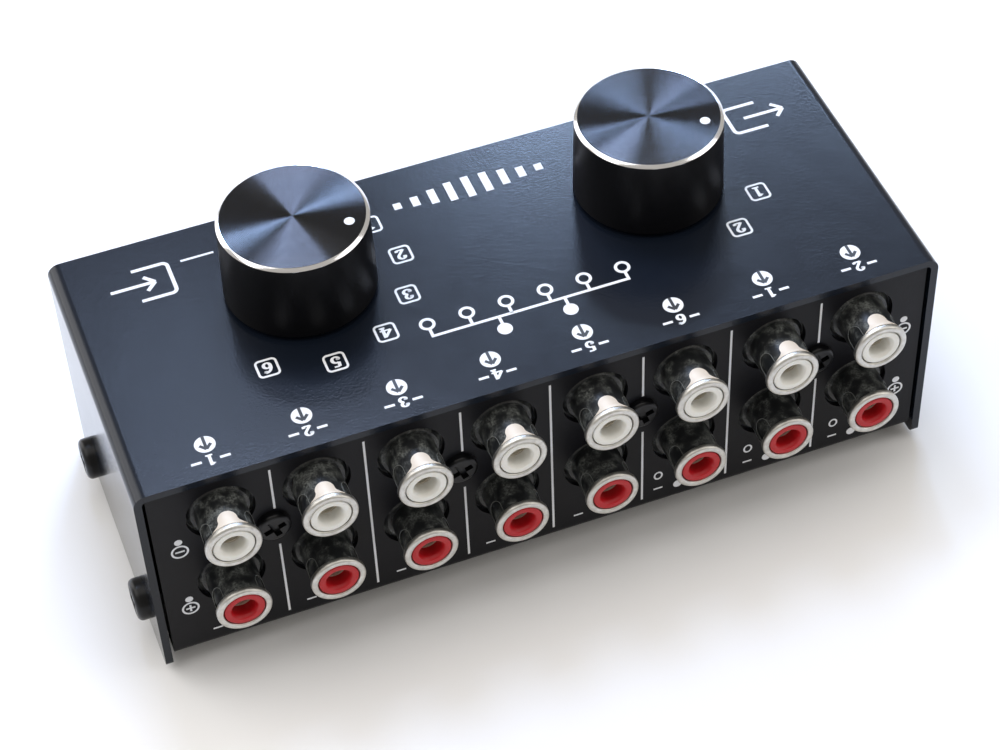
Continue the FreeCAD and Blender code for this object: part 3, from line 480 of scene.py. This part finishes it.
for body, (x, y, _) in KNOBS.items():
    knob = body.replace("selector", "knob")
    face = (turned(face_profile(), (x, y, 0), steps=128), False, True, False)
    make_piece(knob + "_face", [face], spun_face, body, sharp=60)
    bevel = (turned(bevel_profile(), (x, y, 0), steps=192), True, True, False)
    make_piece(knob + "_bevel", [bevel], cut_bright, body, sharp=20)
    dot_place = (x + DOT_DISTANCE * math.cos(DOT_ANGLE), y + DOT_DISTANCE * math.sin(DOT_ANGLE), KNOB_FACE_Z)
    dot = (turned(dot_profile(), dot_place, steps=40), False, True, False)
    make_piece(knob + "_dot", [dot], white_ink, body, sharp=35)
    print(knob, "stands at", (x, y), "with", int((KNOB_TOP_RADIUS - BEVEL_WIDTH) / GROOVE_PITCH), "grooves")

# %% [markdown]
# ## The jacks
# A phono jack ends in a metal shell with a round-edged ring, and an insulator sits inside it. The
# shell could stay as the plain solid, but its ring catches the light, so a turned profile with more
# points on its curves takes its place. The jacks stand in eight columns and two rows.

# %% Rings and sleeves
PITCH = 14.4
ROWS = {"red": 17.5, "white": 32.1}
RING_Y = in_mm(cad_box[1])[1]
BLOCK_BACK_Y = 9.55
RING_RADIUS = 4.2
RING_CORNER = 0.45
BACK_CORNER = 0.2
MOUTH_CORNER = 0.3
SLEEVE_RADIUS = 3.4
BORE_RADIUS = 3.2
RING_BACK = -1.0


def ring_profile():
    """The sleeve's wall with a ring at its mouth, its heights counted from the ring's front."""
    outer = bend((RING_RADIUS - RING_CORNER, -RING_CORNER), RING_CORNER, 90, 0, 9)
    back = bend((RING_RADIUS - BACK_CORNER, RING_BACK + BACK_CORNER), BACK_CORNER, 0, -90, 5)
    mouth = bend((BORE_RADIUS + MOUTH_CORNER, -MOUTH_CORNER), MOUTH_CORNER, 180, 90, 7)
    end = BLOCK_BACK_Y - RING_Y
    return np.concatenate([outer, back, [(SLEEVE_RADIUS, RING_BACK), (SLEEVE_RADIUS, end),
                                         (BORE_RADIUS, end)], mouth])


# %% [markdown]
# ## Tongues, insulators and pale edges
# Each shell has a bell-shaped tongue that lies on the barrel, over it on the white jacks and under
# it on the red ones: a sheet wrapped on the barrel, with an angle across it and the depth along it.
# The insulator is one more turned profile. The barrels' recesses have pale rims, which are thin raised
# lines, because a line drawn by a bump would vanish from a low angle. Their pale grey is partly wear and
# partly a painted highlight, where the rims catch the light.

# %% Tongues
TONGUE_LENGTH = 2.65
TONGUE_HALF = 1.44
TONGUE_FLARE = 1.25
FLARE_RATE = 2.3
FLARE_POWER = 2.4
TONGUE_RADIUS = 3.93
TONGUE_LIFT = 0.20
TONGUE_RIB = 0.05
TONGUE_SHEET = 0.12
TONGUE_SINK = 0.03
WRAP_RADIUS = 4.0


def tongue_grid(x, z, way):
    """A bell outline wrapped on the barrel, on its top side or its under side by the way, 1 or -1.
    Along it, t goes from 0 at the ring to 1 at the tip. Its half width = half + flare times
    (1 - rate t) ** power at the foot, closed by a round tip over its last half: times
    sqrt(1 - u * u), where u runs from 0 to 1. The sheet comes down from the ring's edge to the
    barrel: radius = barrel + lift * (1 - t) squared, and its middle stands up in a shallow rib."""
    t = np.linspace(0, 1, 40)[:, None]
    flare = TONGUE_FLARE * (1 - np.clip(t * FLARE_RATE, 0, 1)) ** FLARE_POWER
    tip = np.sqrt(np.clip(1 - (np.clip(t - 0.5, 0, 1) / 0.5) ** 2, 0, 1))
    half = (TONGUE_HALF + flare) * np.maximum(tip, 0.001)
    s = np.linspace(-1, 1, 25)[None, :]
    angle = s * half / WRAP_RADIUS
    rib = TONGUE_RIB * (1 - s ** 2) * (1 - t ** 4)
    under = TONGUE_RADIUS + TONGUE_LIFT * (1 - t) ** 2 + rib - TONGUE_SINK
    y = RING_Y + RING_BACK + TONGUE_SHEET - TONGUE_LENGTH * t + 0 * s
    outside, inside = (np.stack([x + r * np.sin(angle), y, z + way * r * np.cos(angle)], -1)
                       for r in (under + TONGUE_SHEET, under))
    return np.concatenate([outside, inside[:, ::-1]], 1)


# %% Insulators
INSULATOR_RADIUS = 3.08
INSULATOR_EDGE = 0.20
INSULATOR_FRONT = -0.15
INSULATOR_BACK = -8.0
DISH_RADIUS = 2.20
DISH_DEPTH = 0.55
DISH_TILT = 0.08
SOCKET_RADIUS = 1.80
SOCKET_DEPTH = -2.55
CONTACT_ROOM = 1.98


def insulator_profile():
    """A flat front with a rounded rim, dished into the socket by a quarter-cosine fall and a slight
    slope. Behind the socket's lip is the wider room of the centre contact."""
    fall = np.linspace(0, 1, 9)
    radius = DISH_RADIUS + (SOCKET_RADIUS - DISH_RADIUS) * fall
    depth = INSULATOR_FRONT - DISH_DEPTH * (1 - np.cos(fall * np.pi / 2)) - DISH_TILT * fall
    corner = (INSULATOR_RADIUS - INSULATOR_EDGE, INSULATOR_FRONT - INSULATOR_EDGE)
    rim = bend(corner, INSULATOR_EDGE, 0, 90, 6)
    return np.concatenate([[(INSULATOR_RADIUS, INSULATOR_BACK)], rim, np.stack([radius, depth], -1),
                           [(SOCKET_RADIUS, SOCKET_DEPTH), (CONTACT_ROOM, SOCKET_DEPTH),
                            (CONTACT_ROOM, INSULATOR_BACK)]])


# %% Pale edges of the recesses, with painted highlights
BARREL_RADIUS = 3.85
RECESS_TURN = math.radians(24)
RECESS_HALF = 1.55
RECESS_LENGTH = 3.0
EDGE_SECTION = ((-0.055, -0.01), (-0.03, 0.025), (0.03, 0.025), (0.055, -0.01))


def recess_edge(x, z, side):
    """The pale rim of a barrel's recess, a thin raised line whose grey is partly wear and partly a painted
    highlight: two straight runs and a half circle on the unrolled barrel. Place on the barrel = (radius cos
    a, radius sin a), a = turn + u / radius.
    The section gives each row's distance across the line and its height over the barrel."""
    start = RING_Y + RING_BACK - 0.03
    arch_y = start - RECESS_LENGTH + RECESS_HALF
    arch = np.radians(np.linspace(0, 180, 19))
    run = np.linspace(start, arch_y + 0.1, 6)
    sides = np.full(len(run), RECESS_HALF)
    u = np.concatenate([sides, RECESS_HALF * np.cos(arch), -sides])
    y = np.concatenate([run, arch_y - RECESS_HALF * np.sin(arch), run[::-1]])
    along = np.stack([np.gradient(u), np.gradient(y)], -1)
    along /= np.linalg.norm(along, axis=1, keepdims=True)
    rows = []
    for across, height in EDGE_SECTION:
        turn = RECESS_TURN + (u + across * along[:, 1]) / BARREL_RADIUS
        r = BARREL_RADIUS + height
        beside = y - across * along[:, 0]
        rows.append(np.stack([x + side * r * np.cos(turn), beside, z + r * np.sin(turn)], -1))
    return np.stack(rows, 1)


# %% Sixteen jacks in four blocks
columns = [PITCH * (index - 3.5) for index in range(8)]
for block in range(4):
    number = "_%d" % (block + 1)
    pair = columns[2 * block:2 * block + 2]
    jacks = [(x, z) for x in pair for z in ROWS.values()]
    rings = [(turned(ring_profile(), (x, RING_Y, z), 80, "Y"), True, True, False) for x, z in jacks]
    shells = make_piece("jack_shells" + number, rings, tin_plate, "case", 50)
    tongues = [(tongue_grid(x, z, way), False, True, True)
               for x in pair for z, way in ((ROWS["white"], 1), (ROWS["red"], -1))]
    tails = make_piece("jack_tongues" + number, tongues, tongue_tin, "case", 60)
    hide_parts("ground_shells" + number)
    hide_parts("ground_shells" + number)
    # The pale rims of the recesses, whose grey is partly a painted highlight.
    edges = [(recess_edge(x, z, side), False, True, True) for x, z in jacks for side in (-1, 1)]
    make_piece("recess_edges" + number, edges, rim_wear_and_highlight, "case", 50)
    for colour, finish in (("white", white_plastic), ("red", red_plastic)):
        rounds = [(turned(insulator_profile(), (x, RING_Y, ROWS[colour]), 72, "Y"), True, True, False)
                  for x in pair]
        insulators = colour + "_insulators" + number
        piece = make_piece(insulators + "_moulded", rounds, finish, "case", 50)
        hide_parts(insulators)
print("jack columns at x =", [round(x, 1) for x in columns])

# %% [markdown]
# ## Printed marks
# White screen ink stands a few hundredths of a millimetre above the paint. Each line is a pen
# stroke: a path, and an oval pen that is wide across and thin along, so upright strokes come out
# bolder than level ones, as in a printer's old numerals. The marks are plain ones: numbers for the
# positions, arrows for the way the signal runs, and a small routing diagram.

# %% A pen for printed lines
INK = 0.03


def stroke(path, pen, closed=False):
    """A flat line along a path, drawn with a round pen of one half width, or an oval one of two. The
    edge points are path +- pen support, where the support of an oval pen with half axes a and b in
    direction n is (a a nx, b b ny) / sqrt(a a nx nx + b b ny ny)."""
    path = np.asarray(path, float)
    if closed:
        ahead = np.roll(path, -1, 0) - np.roll(path, 1, 0)
    else:
        ahead = np.gradient(path, axis=0)
    ahead /= np.linalg.norm(ahead, axis=1, keepdims=True)
    normal = np.stack([-ahead[:, 1], ahead[:, 0]], -1)
    squares = np.broadcast_to(pen, 2) ** 2
    support = squares * normal / np.sqrt((squares * normal ** 2).sum(1, keepdims=True))
    edges = [(path + support, 0), (path + support, INK), (path - support, INK), (path - support, 0)]
    grid = np.stack([np.concatenate([edge, np.full((len(path), 1), z)], 1) for edge, z in edges], 1)
    return grid, closed, True, not closed


def disc(centre, radius):
    """A round ink spot: a turned profile that closes at the middle, top and bottom."""
    profile = [(0, INK), (radius, INK), (radius, 0), (0, 0)]
    return turned(profile, (*centre, 0), steps=40), False, True, False


def oval(centre, rx, ry, start, end, count=24):
    """Points on an ellipse from one angle to another, in degrees."""
    t = np.radians(np.linspace(start, end, count))
    return np.stack([centre[0] + rx * np.cos(t), centre[1] + ry * np.sin(t)], -1)


def loop(centre, rx, ry, count):
    """A closed ellipse, whose last point isn't repeated."""
    return oval(centre, rx, ry, 0, 360, count + 1)[:-1]


def frame_path(width, height, corner):
    """A closed rectangle with round corners, centred on the origin."""
    parts = []
    for sx, sy, start in ((1, 1, 0), (-1, 1, 90), (-1, -1, 180), (1, -1, 270)):
        centre = (sx * (width / 2 - corner), sy * (height / 2 - corner))
        parts.append(oval(centre, corner, corner, start, start + 90, 7))
    return np.concatenate(parts)


def line(*points):
    """A straight run of points between each pair, dense enough for the pen."""
    points = np.asarray(points, float)
    return np.concatenate([np.linspace(a, b, 4) for a, b in zip(points[:-1], points[1:])])


print("a square centimetre's frame has", len(frame_path(10, 10, 1)), "points")

# %% [markdown]
# ## Numerals and where the ink goes
# Numerals could be set in a typeface, but a few strokes keep the look of a small screen print and need no
# font file. Each is drawn on a grid one unit high, with small balls where its curls end. A mark is drawn
# flat as (x, y, height), and one function per surface lays it in place.

# %% Numerals
def ball(x, y, radius=0.04):
    """The small round end of a curl."""
    return oval((x, y), radius, radius, 0, 330, 9)


NUMERALS = {
    1: [line((0.12, 0.80), (0.34, 0.94)), line((0.36, 1.0), (0.36, 0.0)), line((0.10, 0.04), (0.62, 0.04))],
    2: [np.concatenate([oval((0.31, 0.71), 0.24, 0.25, 175, -35), line((0.47, 0.53), (0.08, 0.06))]),
        line((0.06, 0.06), (0.58, 0.06)), line((0.57, 0.03), (0.57, 0.22)), ball(0.12, 0.74, 0.05)],
    3: [oval((0.29, 0.74), 0.22, 0.21, 160, -90), oval((0.29, 0.27), 0.26, 0.23, 90, -165),
        ball(0.11, 0.76), ball(0.09, 0.24)],
    4: [line((0.48, 0.95), (-0.04, 0.31)), line((-0.06, 0.30), (0.74, 0.30)),
        line((0.50, 0.98), (0.50, 0.0)), line((0.30, 0.04), (0.72, 0.04))],
    5: [line((0.16, 0.96), (0.54, 0.96)), line((0.15, 0.97), (0.12, 0.56)),
        oval((0.28, 0.32), 0.26, 0.28, 128, -160), ball(0.10, 0.26)],
    6: [oval((0.32, 0.29), 0.24, 0.25, 0, 360), oval((0.54, 0.40), 0.46, 0.56, 88, 185), ball(0.53, 0.86)],
}
NUMERAL_MIDDLE = np.array((0.33, 0.5))
NUMERAL_PEN = np.array((0.12, 0.065))


def numeral(value, centre, height):
    """The strokes of a numeral, scaled to a height and centred on a place."""
    shift = centre - height * NUMERAL_MIDDLE
    return [stroke(path * height + shift, NUMERAL_PEN * height) for path in NUMERALS[value]]


print("strokes of the numerals:", {value: len(paths) for value, paths in NUMERALS.items()})

# %% Surfaces for the ink
COVER_TOP_Z = in_mm(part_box("top_cover")[1])[2]
PANEL_Y = 21.05
TALLER = 0.05
TALLER_STEPS = 7


def on_cover(grid):
    """Marks on the cover's top, as they are drawn."""
    return grid + (0, 0, COVER_TOP_Z)


def on_panel(grid):
    """Marks on the jack panel: their x stays, their y becomes the height, and ink stands out along +Y."""
    return np.stack([grid[..., 0], PANEL_Y + grid[..., 2], grid[..., 1]], -1)


def moved(grids, place):
    """The same marks shifted by a place on the surface."""
    return [(grid + (*place, 0), *flags) for grid, *flags in grids]


def print_marks(name, grids, finish, onto):
    """Lay flat marks on a surface: onto maps their (x, y, height) to places on the box. Each stroke is
    a few thousandths of a millimetre thicker than the one before, in turns of seven, because two
    faces at one height where strokes cross would render as black specks."""
    laid = []
    for index, (grid, *flags) in enumerate(grids):
        thickness = 1 + TALLER * (index % TALLER_STEPS)
        laid.append((onto(grid * (1, 1, thickness)), *flags))
    make_piece(name, laid, finish, "case", sharp=30)
    print(name, "has", len(laid), "strokes")


# %% [markdown]
# ## Numbers round the knobs
# A rotary switch has one number per position. The boxes stand on a circle round the input knob,
# so a centre, a radius and one angle each are enough. On the real box they aren't quite 30 degrees
# apart, and the angles follow it. The output knob has only two boxes.

# %% Position numbers round the knobs
NUMBER_RING = (28.4, -9.4)
NUMBER_RADIUS = 16.6
NUMBER_ANGLES = (210.8, 182.4, 152.7, 123.9, 91.8, 57.0)
OUTPUT_BOXES = ((-43.45, -2.0), (-37.65, 4.1))
BOX_WIDTH, BOX_HEIGHT, BOX_CORNER = 3.05, 3.25, 0.6
BOX_PEN = 0.18
BOX_NUMERAL = 2.1

box_places = [(NUMBER_RING[0] + NUMBER_RADIUS * math.cos(math.radians(a)),
               NUMBER_RING[1] + NUMBER_RADIUS * math.sin(math.radians(a))) for a in NUMBER_ANGLES]
marks = []
for places in (box_places, OUTPUT_BOXES):
    for index, place in enumerate(places):
        box = stroke(frame_path(BOX_WIDTH, BOX_HEIGHT, BOX_CORNER), BOX_PEN, True)
        marks += moved([box] + numeral(index + 1, (0, 0), BOX_NUMERAL), place)
print_marks("position_numbers", marks, white_ink, on_cover)

# %% [markdown]
# ## Labels over the jack columns
# Each column has a white disc with a black arrow towards the panel, and a number between two short
# dashes. The number is that of an input for six columns and of an output for the last two. The
# arrow is black ink over the white, so it is a piece of its own, laid a little higher.

# %% Column labels and arrows
LABEL_SHIFT = -0.33
LABEL_Y = 18.35
LABEL_NUMERAL = 2.0
LABEL_PEN = 0.22
DASH_FROM, DASH_TO = 1.35, 2.9
INPUTS = 6
ICON_Y = 15.25
ICON_RADIUS = 1.55
ARROW_PEN = 0.24
ARROW_TAIL, ARROW_NECK, ARROW_TIP = -1.6, 0.9, 0.95
BARB_ACROSS, BARB_Y = 0.85, 0.05
OVERPRINT = 0.015

marks, arrows = [], []
for index, column in enumerate(reversed(columns)):
    x = column + LABEL_SHIFT
    marks.append(disc((x, ICON_Y), ICON_RADIUS))
    for side in (-1, 1):
        marks.append(stroke(line((x + side * DASH_FROM, LABEL_Y), (x + side * DASH_TO, LABEL_Y)), LABEL_PEN))
    marks += numeral(index % INPUTS + 1, (x, LABEL_Y), LABEL_NUMERAL)
    arrows.append(stroke(line((x, ICON_Y + ARROW_TAIL), (x, ICON_Y + ARROW_NECK)), ARROW_PEN))
    for side in (-1, 1):
        barb = line((x, ICON_Y + ARROW_TIP), (x + side * BARB_ACROSS, ICON_Y + BARB_Y))
        arrows.append(stroke(barb, ARROW_PEN))
print_marks("column_labels", marks, white_ink, on_cover)
print_marks("column_arrows", arrows, black_ink, lambda grid: on_cover(grid) + (0, 0, OVERPRINT))

# %% [markdown]
# ## Marks on the top of the cover
# The real box carries words here. Plain marks stand in for them: six small rings joined to two
# discs for six inputs that lead to two outputs, a row of bars that swells like a sound's level,
# and an open bracket with an arrow into it or out of it beside each knob.

# %% Routing diagram
DIAGRAM_PEN = 0.24
DIAGRAM_START = 13.0
DIAGRAM_STEP = 6.2
RING_CENTRE_Y = 5.1
RING_SIZE = 1.0
RING_STEM = 1.1
BUS_Y = 7.7
OUTPUT_XS = (2.7, -7.7)
OUTPUT_Y = 10.3
OUTPUT_RADIUS = 1.15
OUTPUT_STEM = 0.9

ring_xs = [DIAGRAM_START - DIAGRAM_STEP * index for index in range(INPUTS)]
marks = []
for x in ring_xs:
    marks.append(stroke(loop((x, RING_CENTRE_Y), RING_SIZE, RING_SIZE, 27), DIAGRAM_PEN, True))
    marks.append(stroke(line((x, RING_CENTRE_Y + RING_STEM), (x, BUS_Y)), DIAGRAM_PEN))
bus = line((ring_xs[0] + DIAGRAM_PEN, BUS_Y), (ring_xs[-1] - DIAGRAM_PEN, BUS_Y))
marks.append(stroke(bus, DIAGRAM_PEN))
for x in OUTPUT_XS:
    marks.append(stroke(line((x, BUS_Y), (x, OUTPUT_Y - OUTPUT_STEM)), DIAGRAM_PEN))
    marks.append(disc((x, OUTPUT_Y), OUTPUT_RADIUS))
print_marks("routing_diagram", marks, white_ink, on_cover)

# %% Level bars
BARS = 9
BAR_START = 8.9
BAR_STEP = 2.9
BAR_Y = -20.2
BAR_LEAST, BAR_SWELL = 1.2, 3.4
BAR_PEN = 0.62

marks = []
for index in range(BARS):
    x = BAR_START - BAR_STEP * index
    half = (BAR_LEAST + BAR_SWELL * math.sin(math.pi * (index + 0.6) / (BARS + 0.4)) ** 2) / 2
    marks.append(stroke(line((x, BAR_Y - half), (x, BAR_Y + half)), BAR_PEN))
print_marks("level_bars", marks, white_ink, on_cover)

# %% Symbols for in and out
SYMBOL_PEN = 0.3
BRACKET_OPEN, BRACKET_BACK, BRACKET_CORNER = 0.9, -3.6, 0.8
ARROWHEAD = 1.5
# Place, mouth towards +x or -x, half height, and where the arrow's tail and tip lie.
SYMBOLS = [((49.9, -18.8), 1, 3.3, 4.9, -2.0), ((-50.3, -18.1), -1, 2.9, -2.0, 4.6)]
POINTER = ((43.2, -21.5), (38.0, -21.5))
POINTER_PEN = 0.2


def bracket(half):
    """An open bracket with round corners, its mouth towards +x."""
    corner = (BRACKET_BACK - 0.2, half - BRACKET_CORNER)
    return np.concatenate([
        line((BRACKET_OPEN, half), (BRACKET_BACK, half)),
        oval(corner, BRACKET_CORNER, BRACKET_CORNER, 90, 180, 7),
        oval((corner[0], -corner[1]), BRACKET_CORNER, BRACKET_CORNER, 180, 270, 7),
        line((BRACKET_BACK, -half), (BRACKET_OPEN, -half))])


def arrow(tail, tip):
    """A level arrow from tail to tip: a shaft and two barbs that lie back from the tip."""
    back = tip + math.copysign(ARROWHEAD, tail - tip)
    return [line((tail, 0), (tip, 0)), line((tip, 0), (back, ARROWHEAD)), line((tip, 0), (back, -ARROWHEAD))]


marks = []
for place, opening, half, tail, tip in SYMBOLS:
    for run in [bracket(half)] + arrow(tail, tip):
        marks.append(stroke(run * (opening, 1) + place, SYMBOL_PEN))
marks.append(stroke(line(*POINTER), POINTER_PEN))
print_marks("switch_symbols", marks, white_ink, on_cover)

# %% [markdown]
# ## Marks on the jack panel
# Thin dividers part the columns, and each second one is broken where a screw holds a jack block.
# At both ends a plus and a minus in a ring stand for the two channels. Under the columns are short
# dashes, and on the output side a small ring over each and a spot beside it.

# %% Marks on the jack panel
DIVIDER_XS = (42.6, 28.5, 13.8, -0.1, -14.8, -28.9, -43.5)
DIVIDER_TOP, DIVIDER_BOTTOM = 37.8, 5.3
SCREW_TOP, SCREW_BOTTOM = 29.3, 21.2
DIVIDER_PEN = 0.17
SIGNS = ((57.2, 27.2, "minus"), (57.2, 14.0, "plus"), (-57.8, 27.7, "minus"), (-57.6, 14.2, "plus"))
SIGN_PEN = 0.15
SIGN_RADIUS = 1.2
SIGN_HALF = 0.7
SIGN_DROP = 1.1
SPOT_RISE = 1.0
SPOT_RADIUS = 0.6
DASH_PLACES = ((53.7, 6.5), (39.0, 6.5), (24.7, 6.5), (10.2, 6.5), (-4.2, 6.5))
OUTPUT_DASHES = ((-17.5, 6.8), (-32.6, 6.6), (-47.2, 6.4))
DASH_HALF = 0.75
DASH_SPOT = (-3.3, -0.3)
DASH_SPOT_RADIUS = 0.75
DASH_RING_RISE = 3.0
DASH_RING = (0.62, 0.75)
DASH_RING_PEN = 0.14


def level_dash(x, z, half):
    """A short level stroke about a place."""
    return stroke(line((x - half, z), (x + half, z)), SIGN_PEN)


marks = []
for index, x in enumerate(DIVIDER_XS):
    broken = ((DIVIDER_TOP, SCREW_TOP), (SCREW_BOTTOM, DIVIDER_BOTTOM))
    for top, bottom in broken if index % 2 == 0 else ((DIVIDER_TOP, DIVIDER_BOTTOM),):
        marks.append(stroke(line((x, top), (x, bottom)), DIVIDER_PEN))
for x, z, sign in SIGNS:
    marks.append(disc((x, z + SPOT_RISE), SPOT_RADIUS))
    middle = z - SIGN_DROP
    marks.append(stroke(loop((x, middle), SIGN_RADIUS, SIGN_RADIUS, 32), SIGN_PEN, True))
    marks.append(level_dash(x, middle, SIGN_HALF))
    if sign == "plus":
        marks.append(stroke(line((x, middle - SIGN_HALF), (x, middle + SIGN_HALF)), SIGN_PEN))
for x, z in DASH_PLACES:
    marks.append(level_dash(x, z, DASH_HALF))
for x, z in OUTPUT_DASHES:
    marks.append(level_dash(x, z, DASH_HALF))
    marks.append(disc((x + DASH_SPOT[0], z + DASH_SPOT[1]), DASH_SPOT_RADIUS))
    marks.append(stroke(loop((x, z + DASH_RING_RISE), *DASH_RING, 23), DASH_RING_PEN, True))
print_marks("panel_marks", marks, white_ink, on_panel)

# %% [markdown]
# ## Dress the carried-over solids
# The solids whose shape is right stay as they are and only get a finish, by the name of each node.

# %% Finishes for the CAD nodes
DRESS = [
    ("top_cover", cover_coat), ("base_chassis", chassis_coat), ("jack_block", barrel_plastic),
    ("_screws", screw_black), ("grub_screw", screw_black), ("rubber_feet", foot_rubber),
    ("centre_contacts", socket_tin), ("_terminals", terminal_brass), ("circuit_board", board_green),
    ("_wafer_", wafer_brown), ("_rotor_", rotor_nylon), ("_knob", knob_side),
]
for name, node in frame["nodes"].items():
    finish = next((made for part, made in DRESS if part in name), zinc_plate)
    node.data.materials.clear()
    node.data.materials.append(finish)
print("dressed", len(frame["nodes"]), "nodes")

# %% [markdown]
# ## Floor, light and background
# The photograph shows the box on a white table under wide soft light, with its shadow falling
# towards the camera. Large lamps give that: one overhead, one on each side, and a low one behind
# the left end, which the bend of the cover mirrors as a pale band. Four small lamps are there for
# the knobs: a turned face shows each small lamp as one bright wedge and its opposite, in the
# direction half way between the lamp and the eye, so the lamps were placed from the wedges' angles.
# They also give the paint its blue sheen, because the cover mirrors the space behind the box; a blue tint
# painted into the cover's base colour adds to it.
# A lamp's power is its radiance times pi times its area, so the lamps below are set by how bright
# they look, and a lamp can be made larger without making its reflection stronger.

# %% Stage
def lamp(name, place, aim, size, radiance, colour):
    """A rectangular area lamp at a place in mm, turned so that it shines at the aim, also in mm."""
    data = bpy.data.lights.new(name, "AREA")
    data.shape = "RECTANGLE"
    data.size, data.size_y = (side * MM for side in size)
    data.energy = radiance * math.pi * data.size * data.size_y
    data.color = colour
    made = bpy.data.objects.new(name, data)
    made.location = Vector(place) * MM
    made.rotation_euler = (Vector(aim) - Vector(place)).to_track_quat("-Z", "Y").to_euler()
    bpy.context.scene.collection.objects.link(made)
    print(name, "lamp:", round(data.energy, 2), "W")


FLOOR_HALF = 4000 * MM
KNOB_MIDDLE = (0, -10, 50)
SKY_COLOUR = (1.0, 0.95, 0.87, 1)
SKY_STRENGTH = 0.46

floor_corners = [(sx * FLOOR_HALF, sy * FLOOR_HALF, 0) for sx, sy in ((-1, -1), (1, -1), (1, 1), (-1, 1))]
floor_mesh = bpy.data.meshes.new("floor")
floor_mesh.from_pydata(floor_corners, [], [(0, 1, 2, 3)])
floor = bpy.data.objects.new("floor", floor_mesh)
bpy.context.scene.collection.objects.link(floor)
floor_finish = Finish("pale table", Base_Color=(0.87, 0.87, 0.88, 1), Roughness=0.6)
floor_mesh.materials.append(floor_finish.material)

lamp("overhead", (100, -10, 900), (100, -10, 0), (1200, 680), 1.55, (1.0, 0.98, 0.96))
lamp("left soft", (483, -175, 505), (0, 0, 20), (750, 260), 1.8, (1.0, 0.99, 0.98))
lamp("low left", (560, -640, 290), (60, 0, 40), (520, 540), 2.2, (1.0, 0.99, 1.0))
lamp("right soft", (-620, 260, 420), (0, 60, 0), (500, 500), 1.5, (1.0, 0.98, 0.95))
lamp("near wedge", (10, -139, 333), KNOB_MIDDLE, (105, 85), 21.0, (0.58, 0.71, 1.0))
lamp("far wedge", (-180, -475, 402), KNOB_MIDDLE, (72, 72), 52.0, (0.50, 0.68, 1.0))
lamp("left wedge", (-9, -407, 477), KNOB_MIDDLE, (70, 36), 13.0, (0.52, 0.68, 1.0))
lamp("right wedge", (-290, -450, 370), KNOB_MIDDLE, (120, 60), 32.0, (0.50, 0.68, 1.0))

world = bpy.data.worlds.new("studio")
bpy.context.scene.world = world
world.use_nodes = True
world.node_tree.nodes["Background"].inputs["Color"].default_value = SKY_COLOUR
world.node_tree.nodes["Background"].inputs["Strength"].default_value = SKY_STRENGTH
bpy.context.scene.view_settings.view_transform = "Standard"
